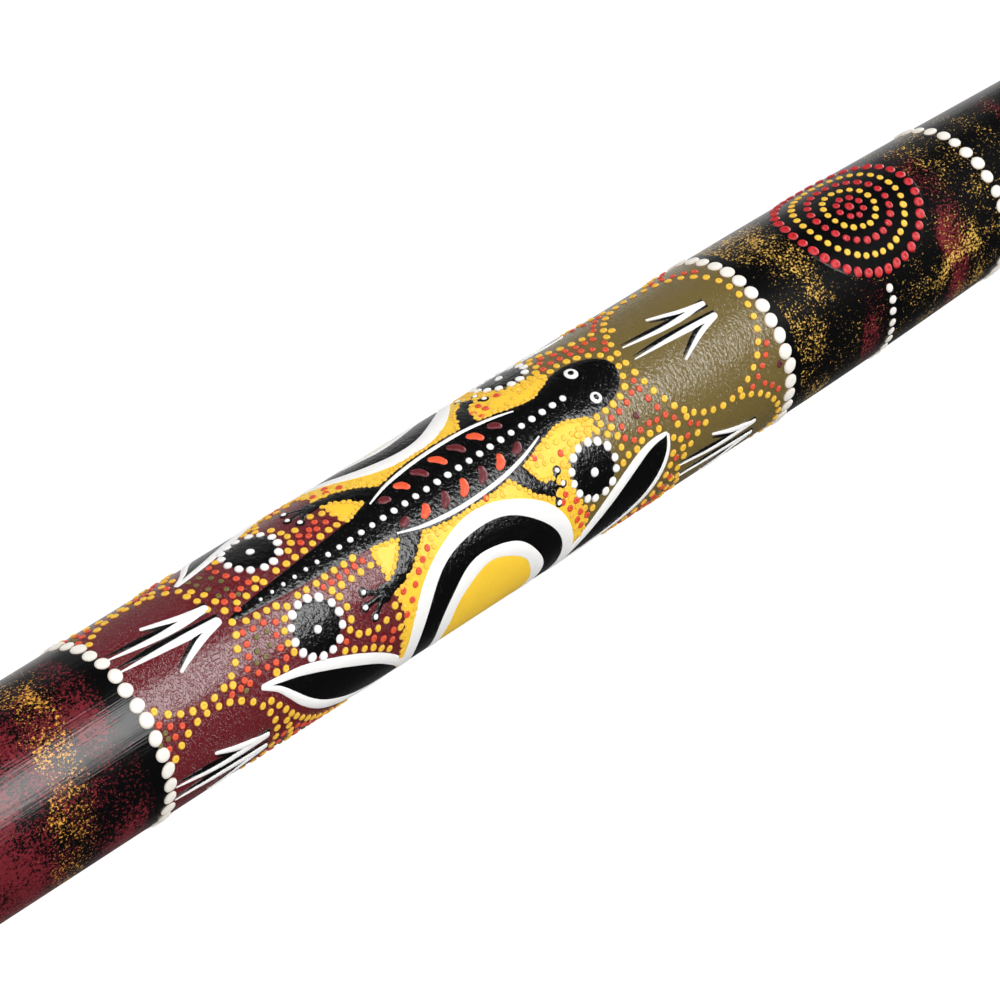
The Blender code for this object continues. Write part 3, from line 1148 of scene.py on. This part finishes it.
def panel_dots(sizes):
    """All fine dots of the main panel."""
    dots = DotRows(PANEL, seed=11)
    fine = sizes.fine_dot / MM
    for shape in panel_shapes():
        dots.keep_clear(shape)
    for arch in LOW_ARCHES:
        dots.row("yellow", arch_outline(arch), 4.25, fine)
    for arch in HIGH_ARCHES:
        dots.row("yellow", high_arch_outline(arch), 4.3, fine, closed=True)
    for loop, colours in RIGHT_REGIONS + LEFT_REGIONS:
        dots.nest(smooth_path(loop, closed=True), colours, diameter=fine)
    for arch in LOW_ARCHES:
        dots.keep_clear(arc(arch, LOW_ARCH_RADIUS, -136, 136))
    for up, side, half_width in HIGH_ARCHES:
        dots.keep_clear(arc((up, side), HIGH_ARCH_LENGTH, 0, 360, squash=half_width / HIGH_ARCH_LENGTH))
    for order, colour in enumerate(("orange", "green")):
        reach = ARCH_ROW_STEP * (order + 1)
        for arch in LOW_ARCHES:
            dots.row(colour, arc(arch, LOW_ARCH_RADIUS + reach, -131, 131), DOT_SPACING, fine)
    for up, side, half_width in HIGH_ARCHES:
        reach = HIGH_ARCH_LENGTH + ROW_STEP
        squash = (half_width + ROW_STEP) / reach
        dots.row("orange", arc((up, side), reach, 36, 144, squash=squash), 3.8, fine)
        dots.row("orange", arc((up, side), reach, -36, -144, squash=squash), 3.8, fine)
    dots.row("orange", [(69.5, 7.3), (76, 7.5), (84, 7.5), (92, 7.2)], 3.3, fine)
    for spot in MAROON_SPOTS:
        dots.spot("maroon", spot, fine)
    for centre in DISCS:
        for turn in (1, -1):
            loop = circle((centre[0], centre[1] * turn), DISC_RADIUS + DISC_ROW)
            dots.row("yellow", loop, DOT_SPACING, fine, closed=True)
    for ground in (yellow_ground(), mirrored(yellow_ground())):
        dots.keep_clear(ground)
    for centre in BACK_DISCS:
        for order, colour in enumerate(("yellow", "orange", "green", "orange", "yellow", "green")):
            loop = circle(centre, DISC_RADIUS + DISC_ROW + ROW_STEP * order)
            dots.row(colour, loop, DOT_SPACING, fine, closed=True)
    return dots


def yellow_bumps(sizes):
    """Small yellow dots along the edges of the yellow ground, and orange ones on it."""
    dots = DotRows(PANEL, seed=5)
    sun = circle(SUN, SUN_RADII["edge"] + 0.8)
    for loop in (sun, mirrored(sun)):
        dots.keep_clear(loop)
    for shape in lizard_shapes() + toe_shapes():
        dots.keep_clear(shape)
    big = sizes.fine_dot / MM * 1.1
    for spot in ORANGE_SPOTS + LEFT_ORANGE_SPOTS:
        dots.spot("orange", spot, big)
    for column in range(-1, 2):
        for row in range(15):
            up = 99.0 + 4.4 * row + 2.2 * (column % 2)
            dots.spot("orange", (up, BACK_LINE + 3.8 * column), big)
    small = sizes.fine_dot / MM * 0.84
    ground = yellow_ground()
    for edge in (ground, mirrored(ground)):
        rim = [point for point in edge if 2 < abs(point[1]) < BACK_LINE - 1]
        dots.row("yellow", rim, 2.7, small)
    for loop in YELLOW_REGIONS:
        for side in (loop, mirrored(loop)):
            dots.nest(smooth_path(side, closed=True), ("yellow", "yellow"), gap=2.6, spacing=2.7,
                      diameter=small)
    return dots


def scalloped_edge(relief, sizes):
    """Yellow dots that overlap the lizard's outline and give the ground round it a scalloped edge."""
    rng = random.Random(17)
    suns = [circle((SUN[0], SUN[1] * turn), SUN_RADII["edge"] - 1) for turn in (1, -1)]
    shapes = lizard_shapes()
    for shape in shapes:
        others = [other for other in shapes if other is not shape]
        for point in evenly(inset(shape, -0.4), 1.95):
            spot = (point[0] + rng.uniform(-0.3, 0.3), point[1] + rng.uniform(-0.3, 0.3))
            on_ground = 94 < spot[0] < 184 and (spot[0] < 166 or spot[0] > 170 or abs(spot[1]) < 30)
            if not on_ground or any(inside(spot, sun) for sun in suns):
                continue
            if any(inside(spot, other) for other in others):
                continue
            relief.dome(spot, sizes.fine_dot / MM * rng.uniform(0.58, 0.76), 0.55, 10, rng, 0.35)


# ---------------------------------------------------------------- operators

class WoodOperator(bpy.types.Operator):
    """Builds the two carved halves of the tube"""
    bl_idname = "didgeridoo.wood"
    bl_label = "Wooden halves"

    def execute(self, context):
        sizes, colours = settings()
        darker = tuple(value * 0.35 for value in colours.wood)
        material = hardwood("hardwood", colours.wood, darker)
        section = wood_section(sizes.skin)
        for name, half in (("right", 1), ("left", -1)):
            piece = shown(turned(f"wood_half_{name}", section, material, half=half))
            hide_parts(f"tube_half_{name}")
        return {"FINISHED"}


class MouthpieceOperator(bpy.types.Operator):
    """Builds the ring of beeswax"""
    bl_idname = "didgeridoo.mouthpiece"
    bl_label = "Wax mouthpiece"

    def execute(self, context):
        _, colours = settings()
        material = beeswax("beeswax", colours.wax)
        foot = WAX_LOW[2]
        top = WAX_HIGH[2]
        middle = (NECK_RADIUS + LIP_RADIUS) / 2
        half_width = (NECK_RADIUS - LIP_RADIUS) / 2
        section = [(NECK_RADIUS - 0.0008, foot), (LIP_RADIUS + 0.0008, foot)]
        shoulder = foot + 0.006
        for step in range(13):
            turn = pi * step / 12
            section.append((middle - half_width * cos(turn), shoulder + (top - shoulder) * sin(turn) ** 0.7))

        def pressed(radius, height, turn):
            """Finger-pressed unevenness, fading to nothing at the wood."""
            rise = ease((height - foot) / (top - foot))
            wave = 0.5 * sin(3 * turn + 0.6) + 0.3 * sin(5 * turn + 2.1) + 0.2 * sin(9 * turn + 4.0)
            return radius + wave * 0.0004 * rise, height - (0.5 + 0.5 * wave) * 0.0007 * rise

        piece = shown(turned("wax_ring", section, material, steps=96, roughen=pressed))
        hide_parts("wax_mouthpiece")
        return {"FINISHED"}


class LacquerOperator(bpy.types.Operator):
    """Covers the wood with sleeves of black, printed, maroon and olive lacquer"""
    bl_idname = "didgeridoo.lacquer"
    bl_label = "Lacquer grounds"

    def execute(self, context):
        sizes, _ = settings()
        materials = sleeve_materials()
        tops = [sleeve[1] for sleeve in SLEEVES[1:]] + [SLEEVE_TOP]
        for (name, low, cover), high in zip(SLEEVES, tops):
            section = sleeve_section(low, high, sizes.skin)
            shown(turned(f"lacquer_{name}", section, materials[cover], steps=180))
        return {"FINISHED"}


ROUNDEL = (319.0, -1.0)      # its middle on the panel's sheet
ROUNDEL_RADIUS = 27.6


class RingsOperator(bpy.types.Operator):
    """Dots the rings of cream paint round the tube"""
    bl_idname = "didgeridoo.rings"
    bl_label = "Dotted rings"

    rings = (
        ("lower_panel_foot", LOWER, 0.0, True), ("lower_panel_head", LOWER, LOWER_LENGTH, True),
        ("panel_foot", PANEL, 0.0, True), ("panel_head", PANEL, PANEL_LENGTH, True),
        ("small", PANEL, SMALL_RING_UP, False), ("high", PANEL, HIGH_RING_UP, True),
        ("bell", LOWER, -160.0, True), ("bell_small", LOWER, -82.0, False),
        ("neck", PANEL, 466.0, True), ("neck_small", PANEL, 520.0, False),
    )

    def execute(self, context):
        sizes, _ = settings()
        cream = paints()["cream"]
        for order, (name, sheet, up, big) in enumerate(self.rings):
            rng = random.Random(40 + order)
            width = (sizes.ring_dot if big else sizes.small_ring_dot) / MM
            local = tube_radius(sheet.foot + up * MM) / TUBE_RADIUS
            count = round(ROUND * local / (RING_STEP if big else SMALL_RING_STEP))
            relief = Relief(sheet)
            for index in range(count):
                side = ROUND * (index + rng.uniform(-0.05, 0.05)) / count
                from_roundel = (side - ROUNDEL[1] + BACK_LINE) % ROUND - BACK_LINE
                if sheet is PANEL and hypot(up - ROUNDEL[0], from_roundel) < ROUNDEL_RADIUS + 0.8:
                    continue
                rise = sizes.ring_dot_height / MM * (1.0 if big else 0.7)
                spot = (up + rng.uniform(-0.35, 0.35), side)
                relief.dome(spot, width * rng.uniform(0.94, 1.05), rise, 20, rng)
            relief.finish(f"ring_{name}", cream)
        return {"FINISHED"}


class SunsOperator(bpy.types.Operator):
    """Paints the yellow ground and the two ringed suns"""
    bl_idname = "didgeridoo.suns"
    bl_label = "Suns and yellow ground"

    def execute(self, context):
        paint = paints()
        ground = Relief(PANEL)
        ground.slab(yellow_ground(), 0.14)
        # A hair to the left, so that the two halves have no walls in common
        ground.slab(shifted(mirrored(yellow_ground()), 0.0, -0.03), 0.14)
        ground.finish("yellow_ground", paint["yellow"])
        for name, turn in (("right", 1), ("left", -1)):
            centre = (SUN[0], SUN[1] * turn)
            loops = {part: edge_loop(centre, radius, order) for order, (part, radius) in
                     enumerate(SUN_RADII.items())}
            yellow, black, white = Relief(PANEL), Relief(PANEL), Relief(PANEL)
            yellow.slab(loops["yellow"], 0.3, edge=0.6)
            black.band(loops["black"], loops["white"], 0.28)
            white.band(loops["white"], loops["yellow"], WHITE_LIFT)
            white.band(loops["edge"], loops["black"], WHITE_LIFT)
            yellow.finish(f"sun_{name}_yellow", paint["yellow"])
            black.finish(f"sun_{name}_black", paint["black"])
            white.finish(f"sun_{name}_white", paint["white"])
        return {"FINISHED"}


def edge_loop(centre, radius, order):
    """A brushed circle whose points match those of the sun's other circles."""
    loop = []
    for index in range(SUN_POINTS):
        turn = 2 * pi * index / SUN_POINTS
        uneven = 0.35 * sin(3 * turn + order) + 0.25 * sin(7 * turn + 2 * order)
        loop.append((centre[0] + (radius + uneven) * cos(turn), centre[1] + (radius + uneven) * sin(turn)))
    return loop


class LeavesOperator(bpy.types.Operator):
    """Paints the four black leaves with their white edges"""
    bl_idname = "didgeridoo.leaves"
    bl_label = "Leaves"

    def execute(self, context):
        paint = paints()
        for number, leaf in enumerate(LEAVES):
            for name, turn in (("right", 1), ("left", -1)):
                near, far = leaf
                if turn < 0:
                    near, far = flipped(near), flipped(far)
                black, white = Relief(PANEL), Relief(PANEL)
                black.slab(closed_leaf((near, far)), BLACK_LIFT)
                near, far = between(near, far, 0.07), between(far, near, 0.07)
                white.stroke(near, (1.6, 3.6, 4.4, 4.1, 2.8))
                white.stroke(far, (1.6, 3.4, 4.1, 3.8, 2.6) if number == 0 else (1.4, 2.6, 3.0, 2.8, 2.2))
                black.finish(f"leaf_{number}_{name}", paint["black"])
                white.finish(f"leaf_edge_{number}_{name}", paint["white"])
        return {"FINISHED"}


BACK_DISCS = ((64.0, BACK_LINE), (196.0, BACK_LINE))


def ringed_disc(black, white, centre, radius, rng):
    """A black disc in a ring of white dots, with one more in its middle."""
    black.slab(circle(centre, radius + 0.3, wobble=0.3, seed=int(centre[0])), BLACK_LIFT)
    count = round(radius * 1.69)
    for index in range(count):
        turn = 2 * pi * (index + rng.uniform(-0.08, 0.08)) / count
        spot = (centre[0] + (radius + 0.7) * cos(turn), centre[1] + (radius + 0.7) * sin(turn))
        white.dome(spot, 2.9, 0.7, 14, rng)
    white.dome((centre[0] - 0.2, centre[1] + 0.6), 2.9, 0.8, 14, rng)


class DiscsOperator(bpy.types.Operator):
    """Paints the black discs of the main panel, each in a ring of white dots"""
    bl_idname = "didgeridoo.discs"
    bl_label = "Ringed discs"

    def execute(self, context):
        paint = paints()
        for name, turn in (("right", 1), ("left", -1), ("back", 0)):
            rng = random.Random(7 + turn)
            black, white = Relief(PANEL), Relief(PANEL)
            places = BACK_DISCS
            if turn:
                places = [(up, side * turn + min(turn, 0) * 0.8) for up, side in DISCS]
            for place in places:
                ringed_disc(black, white, place, DISC_RADIUS, rng)
            black.finish(f"discs_{name}", paint["black"])
            white.finish(f"disc_dots_{name}", paint["white"])
        return {"FINISHED"}


class LizardOperator(bpy.types.Operator):
    """Paints a plain lizard with striped flanks, a dotted back, round toes and ringed eyes"""
    bl_idname = "didgeridoo.lizard"
    bl_label = "Lizard"

    def execute(self, context):
        paint = paints()
        black, white, maroon, orange = Relief(PANEL), Relief(PANEL), Relief(PANEL), Relief(PANEL)
        rng = random.Random(2)
        for order, shape in enumerate(lizard_shapes() + toe_shapes()):
            black.slab(shape, 0.26 + 0.006 * order)
        for turn in (1, -1):
            self.feet(black, white, turn, rng)
            self.flank(white, maroon, orange, turn)
            eye = (EYE[0], EYE[1] * turn)
            white.dome(eye, 4.6, 0.6, 18, rng)
            black.dome(eye, 2.3, 0.92, 14, rng)
        self.spine(white, rng)
        black.finish("lizard_body", paint["black"])
        white.finish("lizard_white", paint["white"])
        maroon.finish("lizard_maroon", paint["maroon"])
        orange.finish("lizard_orange", paint["orange"])
        return {"FINISHED"}

    def feet(self, black, white, turn, rng):
        for (points, _), toes in zip(LEGS, TOES):
            paw = (points[-1][0], points[-1][1] * turn)
            for toe in toes:
                tip = (toe[0], toe[1] * turn)
                black.stroke([paw, tip], (2.2, 1.8, 1.8), 0.42)
                white.dome(tip, 1.9, 0.7, 12, rng)

    def flank(self, white, maroon, orange, turn):
        edge = [(up, (half - 1.7) * turn) for up, half in LIZARD_HALF if 100 < up < 170]
        white.stroke(edge, (0.8, 1.7, 1.8, 1.7, 0.8), 0.5)
        halves = smooth_path(LIZARD_HALF)
        for order, up in enumerate(FLANK_STRIPES):
            half = min(halves, key=lambda point: abs(point[0] - up))[1]
            stripe = orange if order % 2 else maroon
            path = [(up + 2.2, 3.2 * turn), (up + 1.2, half * 0.5 * turn), (up - 1.6, (half - 4.2) * turn)]
            stripe.stroke(path, (2.4, 3.4, 2.2), 0.62)

    def spine(self, white, rng):
        """White dots down the back, smaller towards the tip of the tail."""
        up = 182.0
        while up > 50.0:
            white.dome((up, 0.0), 1.1 + 1.3 * min(1.0, (up - 50.0) / 60.0), 0.7, 12, rng)
            up -= SPINE_STEP


def bird_track(white, black, long_toe, short_toe, turn, bold=1.0):
    """One track; its black shadow lies between the toes and along the left of the long one."""
    white.stroke(long_toe, (2.2 * bold, 2.3 * bold, 1.5 * bold, 0.5), 0.6)
    white.stroke(short_toe, (2.0 * bold, 2.0 * bold, 0.9 * bold), 0.6)
    black.stroke(shifted(long_toe, 0.4, -1.3 * bold), (1.2, 1.9 * bold, 2.2 * bold, 0.3), 0.3)
    black.stroke(shifted(short_toe, 0.2, -1.5 * turn), (0.8, 2.7, 1.9, 0.4), 0.3)


class ClawsOperator(bpy.types.Operator):
    """Paints the white bird tracks and their black shadows in the arches"""
    bl_idname = "didgeridoo.claws"
    bl_label = "Bird tracks"

    def execute(self, context):
        paint = paints()
        white, black = Relief(PANEL), Relief(PANEL)
        places = [(2.0, 38.6, arch[1] + 0.8, 1.2) for arch in LOW_ARCHES]
        places += [(212.5, 248.0, arch[1] - (1.6 if number == 0 else 5.0), 0.9)
                   for number, arch in enumerate(HIGH_ARCHES)]
        for foot, tip, middle, spread in places:
            for turn, (long_toe, short_toe) in zip((1, -1), claw_marks(foot, tip, middle, spread)):
                bird_track(white, black, long_toe, short_toe, turn, bold=1.25 if foot < 100 else 0.95)
        white.finish("bird_tracks", paint["white"])
        black.finish("bird_track_shadows", paint["black"])
        return {"FINISHED"}


DOT_LIFT_SHARES = {"yellow": 1.0, "orange": 0.92, "green": 0.85, "maroon": 0.9, "white": 1.1}


class PanelDotsOperator(bpy.types.Operator):
    """Dots the main panel"""
    bl_idname = "didgeridoo.panel_dots"
    bl_label = "Panel dots"

    def execute(self, context):
        sizes, _ = settings()
        paint = paints()
        rise = sizes.fine_dot_height / MM
        lifts = {colour: rise * share for colour, share in DOT_LIFT_SHARES.items()}
        panel_dots(sizes).finish("panel_dots", paint, lifts, 12)
        lifts = {"yellow": 0.14 + rise * 0.55, "orange": 0.14 + rise * 0.8}
        yellow_bumps(sizes).finish("yellow_ground_dots", paint, lifts, 10)
        scallops = Relief(PANEL)
        scalloped_edge(scallops, sizes)
        scallops.finish("yellow_scallops", paint["yellow"])
        return {"FINISHED"}


LOWER_ARCHES = [(19.5, ARCH_STEP * index) for index in range(4)]
LOWER_DISC_UPS = (69.0, LOWER_LENGTH - 69.0)
WATERHOLES = [(LOWER_LENGTH / 2, ARCH_STEP * (index + 0.5)) for index in range(4)]
WATERHOLE_RADII = dict(edge=17.4, black=14.6, yellow=6.0)


def turned_over(points):
    """The same points at the other end of the lower panel."""
    return [(LOWER_LENGTH - up, side) for up, side in points]


class LowerPanelOperator(bpy.types.Operator):
    """Paints the lower panel: waterholes, winding lines, ringed discs, arches and bird tracks"""
    bl_idname = "didgeridoo.lower_panel"
    bl_label = "Lower panel"

    def execute(self, context):
        sizes, _ = settings()
        paint = paints()
        white, black, yellow, winding = (Relief(LOWER) for _ in range(4))
        dots = DotRows(LOWER, seed=37)
        rng = random.Random(31)
        for centre in WATERHOLES:
            self.waterhole(white, black, yellow, dots, centre, rng)
        for _, side in LOWER_ARCHES:
            for up in LOWER_DISC_UPS:
                ringed_disc(black, white, (up, side), DISC_RADIUS - 0.9, rng)
                dots.keep_clear(circle((up, side), DISC_RADIUS + 1.4))
        self.winding_lines(winding, dots)
        self.arches(white, black, dots, sizes.fine_dot / MM)
        self.rows(dots, sizes.fine_dot / MM)
        white.finish("lower_white_lines", paint["white"])
        black.finish("lower_black", paint["black"])
        yellow.finish("lower_yellow", paint["yellow"])
        winding.finish("lower_winding_lines", paint["orange"])
        rise = sizes.fine_dot_height / MM
        lifts = {colour: rise * share for colour, share in DOT_LIFT_SHARES.items()}
        dots.finish("lower_dots", paint, lifts, 12)
        return {"FINISHED"}

    def waterhole(self, white, black, yellow, dots, centre, rng):
        radii = WATERHOLE_RADII
        white.band(edge_loop(centre, radii["edge"], 0), edge_loop(centre, radii["black"], 1), WHITE_LIFT)
        black.slab(edge_loop(centre, radii["black"] + 0.2, 1), 0.26)
        yellow.slab(edge_loop(centre, radii["yellow"], 2), 0.42, edge=0.5)
        for index in range(18):
            turn = 2 * pi * index / 18
            white.dome((centre[0] + 10.3 * cos(turn), centre[1] + 10.3 * sin(turn)), 2.6, 0.7, 14, rng)
        dots.keep_clear(circle(centre, radii["edge"] + 1.3))

    def winding_lines(self, line, dots):
        """A closed line that winds over and under the waterholes, and its mirror image."""
        for turn in (1, -1):
            path = []
            for index in range(8):
                swing = 25.5 if index % 2 else 7.5
                path.append((LOWER_LENGTH / 2 + turn * swing, ARCH_STEP / 2 * index))
            winding = smooth_path(path + [(path[0][0], ROUND)])
            line.stroke(winding[::6] + [winding[-1]], (2.4, 2.4), 0.5)
            for point in evenly(winding, 2.4):
                dots.keep_clear(circle(point, 2.5, step=1.6))

    def arches(self, white, black, dots, width):
        for arch in LOWER_ARCHES:
            loop = arc(arch, LOW_ARCH_RADIUS, -136, 136)
            tracks = claw_marks(2.0, 38.6, arch[1] + 0.8, 1.2)
            for half, place in ((loop, list), (turned_over(loop), turned_over)):
                dots.row("yellow", half, 4.25, width)
                dots.keep_clear(half)
                for turn, (long_toe, short_toe) in zip((1, -1), tracks):
                    bird_track(white, black, place(long_toe), place(short_toe), turn)
        for order, colour in enumerate(("orange", "green")):
            for arch in LOWER_ARCHES:
                loop = arc(arch, LOW_ARCH_RADIUS + ARCH_ROW_STEP * (order + 1), -131, 131)
                dots.row(colour, loop, DOT_SPACING, width)
                dots.row(colour, turned_over(loop), DOT_SPACING, width)

    def rows(self, dots, width):
        """Rows of dots round the discs and the waterholes, each until it meets another."""
        for order, colour in enumerate(("yellow", "orange", "green", "orange")):
            for _, side in LOWER_ARCHES:
                for up in LOWER_DISC_UPS:
                    reach = DISC_RADIUS + 3.0 + ROW_STEP * order
                    dots.row(colour, circle((up, side), reach), DOT_SPACING, width, closed=True)
            for centre in WATERHOLES:
                reach = WATERHOLE_RADII["edge"] + 2.9 + ROW_STEP * order
                dots.row(colour, circle(centre, reach), DOT_SPACING, width, closed=True)


class RoundelOperator(bpy.types.Operator):
    """Dots a plain roundel of red and yellow rings above the main panel"""
    bl_idname = "didgeridoo.roundel"
    bl_label = "Roundel"

    centre = ROUNDEL
    rings = (("red", 25.6, 4.4, 3.6), ("yellow", 19.6, 3.6, 2.6), ("red", 14.2, 3.8, 2.8),
             ("yellow", 9.2, 3.4, 2.4), ("red", 4.6, 3.4, 2.6))

    def execute(self, context):
        sizes, _ = settings()
        paint = paints()
        ground = Relief(PANEL)
        ground.slab(circle(self.centre, ROUNDEL_RADIUS, wobble=0.3, seed=3), 0.16)
        ground.finish("roundel_ground", bpy.data.materials["lacquer_black"])
        dots = DotRows(PANEL, seed=23)
        for colour, radius, spacing, width in self.rings:
            dots.row(colour, circle(self.centre, radius), spacing, width, closed=True)
        dots.spot("red", self.centre, 3.4)
        rise = sizes.fine_dot_height / MM
        dots.finish("roundel", paint, {"red": rise * 1.2, "yellow": rise * 1.1}, 14)
        return {"FINISHED"}


class StageOperator(bpy.types.Operator):
    """Sets up the pale floor, the soft studio light and the camera"""
    bl_idname = "didgeridoo.stage"
    bl_label = "Stage"

    def execute(self, context):
        scene = context.scene
        self.floor()
        self.world(scene)
        for light in self.lights:
            self.light(scene, *light)
        self.camera(scene)
        scene.view_settings.view_transform = "Standard"
        return {"FINISHED"}

    floor_radius = 4.0
    floor_glow = 0.6         # only as the camera sees it
    room_light = 0.03
    backdrop_glow = 1.05
    camera_lens = 156.25
    camera_sensor = 36.0
    camera_place = (0.0, -1.1647, 0.0798)
    camera_turn = (138.877, -46.079, -39.709)     # degrees
    # name, place, aim, width, height, and glow: how bright its face is
    lights = (
        ("key_softbox", (0.03, -1.50, 1.30), (0.0, 0.0, 0.68), 1.05, 0.74, 6.2),
        ("low_right_fill", (1.1, -1.0, 0.45), (0.0, 0.0, 0.75), 0.8, 0.8, 2.5),
        ("low_left_fill", (-1.1, -1.0, 0.45), (0.0, 0.0, 0.75), 0.8, 0.8, 3.6),
        ("left_side", (-1.41, 0.51, 1.6), (0.0, 0.0, 0.75), 1.2, 1.4, 0.2),
        ("left_back", (-0.55, 1.5, 1.7), (0.0, 0.0, 0.75), 1.6, 1.4, 0.6),
        ("right_back", (0.45, 1.55, 1.7), (0.0, 0.0, 0.75), 1.2, 1.4, 0.08),
        ("low_left_back", (-1.0, 1.3, 0.45), (0.0, 0.0, 0.65), 0.8, 1.0, 2.2),
        ("low_right_back", (1.2, 1.1, 0.45), (0.0, 0.0, 0.65), 0.6, 1.0, 1.2),
        ("top_softbox", (0.0, 0.0, 3.2), (0.0, 0.0, 0.0), 2.2, 2.2, 6.0),
    )

    def floor(self):
        bpy.ops.mesh.primitive_circle_add(vertices=128, radius=self.floor_radius, fill_type="NGON")
        floor = bpy.context.object
        floor.name = "floor"
        material, tree, shader = new_material("floor_paper", 0.8)
        place = add_node(tree, "TexCoord").outputs["Object"]
        mottle = add_node(tree, "TexNoise", Vector=place, Scale=3.0, Detail=3.0)
        feed(tree, shader.inputs["Base Color"], mixed_colour(
            tree, mottle.outputs["Fac"], opaque((0.80, 0.80, 0.80)), opaque((0.84, 0.84, 0.835))))
        seen = add_node(tree, "LightPath").outputs["Is Camera Ray"]
        feed(tree, shader.inputs["Emission Color"], mixed_colour(
            tree, seen, opaque((0.0, 0.0, 0.0)), opaque((1.0, 1.0, 1.0))))
        shader.inputs["Emission Strength"].default_value = self.floor_glow
        floor.data.materials.append(material)

    def world(self, scene):
        world = bpy.data.worlds.new("studio")
        scene.world = world
        world.use_nodes = True
        tree = world.node_tree
        tree.nodes.clear()
        seen = add_node(tree, "LightPath").outputs["Is Camera Ray"]
        lit = add_node(tree, "Background", Color=(1.0, 1.0, 1.0, 1.0), Strength=self.room_light)
        white = add_node(tree, "Background", Color=(1.0, 1.0, 1.0, 1.0), Strength=self.backdrop_glow)
        mix = add_node(tree, "MixShader", Fac=seen, i1=lit.outputs[0], i2=white.outputs[0])
        out = tree.nodes.new("ShaderNodeOutputWorld")
        tree.links.new(mix.outputs[0], out.inputs["Surface"])

    def light(self, scene, name, place, aim, width, height, glow):
        lamp = bpy.data.lights.new(name, "AREA")
        lamp.shape = "RECTANGLE"
        lamp.size = width
        lamp.size_y = height
        lamp.energy = glow * pi * width * height
        holder = bpy.data.objects.new(name, lamp)
        holder.location = place
        away = Vector(place) - Vector(aim)
        holder.rotation_euler = away.to_track_quat("Z", "Y").to_euler()
        scene.collection.objects.link(holder)

    def camera(self, scene):
        """Looks up at the panel from low in front, rolled so that the tube leans to the upper right."""
        lens = bpy.data.cameras.new("camera")
        lens.lens = self.camera_lens
        lens.sensor_width = self.camera_sensor
        holder = bpy.data.objects.new("camera", lens)
        holder.location = self.camera_place
        holder.rotation_euler = [radians(turn) for turn in self.camera_turn]
        scene.collection.objects.link(holder)
        scene.camera = holder


class DIDGERIDOO_PT_panel(bpy.types.Panel):
    bl_label = "Didgeridoo"
    bl_space_type = "VIEW_3D"
    bl_region_type = "UI"
    bl_category = "Didgeridoo"

    def draw(self, context):
        layout = self.layout
        sizes, colours = settings()
        for operator in OPERATORS:
            layout.operator(operator.bl_idname)
        for group in (sizes, colours):
            box = layout.box()
            for name in group.__annotations__:
                box.prop(group, name)


OPERATORS = (
    WoodOperator, MouthpieceOperator, LacquerOperator, RingsOperator, SunsOperator, LeavesOperator,
    DiscsOperator, LizardOperator, ClawsOperator, PanelDotsOperator, LowerPanelOperator, RoundelOperator,
    StageOperator,
)
CLASSES = (DidgeridooSizes, DidgeridooColours, *OPERATORS, DIDGERIDOO_PT_panel)


def register():
    for made in CLASSES:
        bpy.utils.register_class(made)
    bpy.types.Scene.didgeridoo_sizes = PointerProperty(type=DidgeridooSizes)
    bpy.types.Scene.didgeridoo_colours = PointerProperty(type=DidgeridooColours)


def unregister():
    del bpy.types.Scene.didgeridoo_colours
    del bpy.types.Scene.didgeridoo_sizes
    for made in reversed(CLASSES):
        bpy.utils.unregister_class(made)


def main():
    register()
    for operator in OPERATORS:
        family, name = operator.bl_idname.split(".")
        getattr(getattr(bpy.ops, family), name)()


if __name__ == "__main__":
    main()
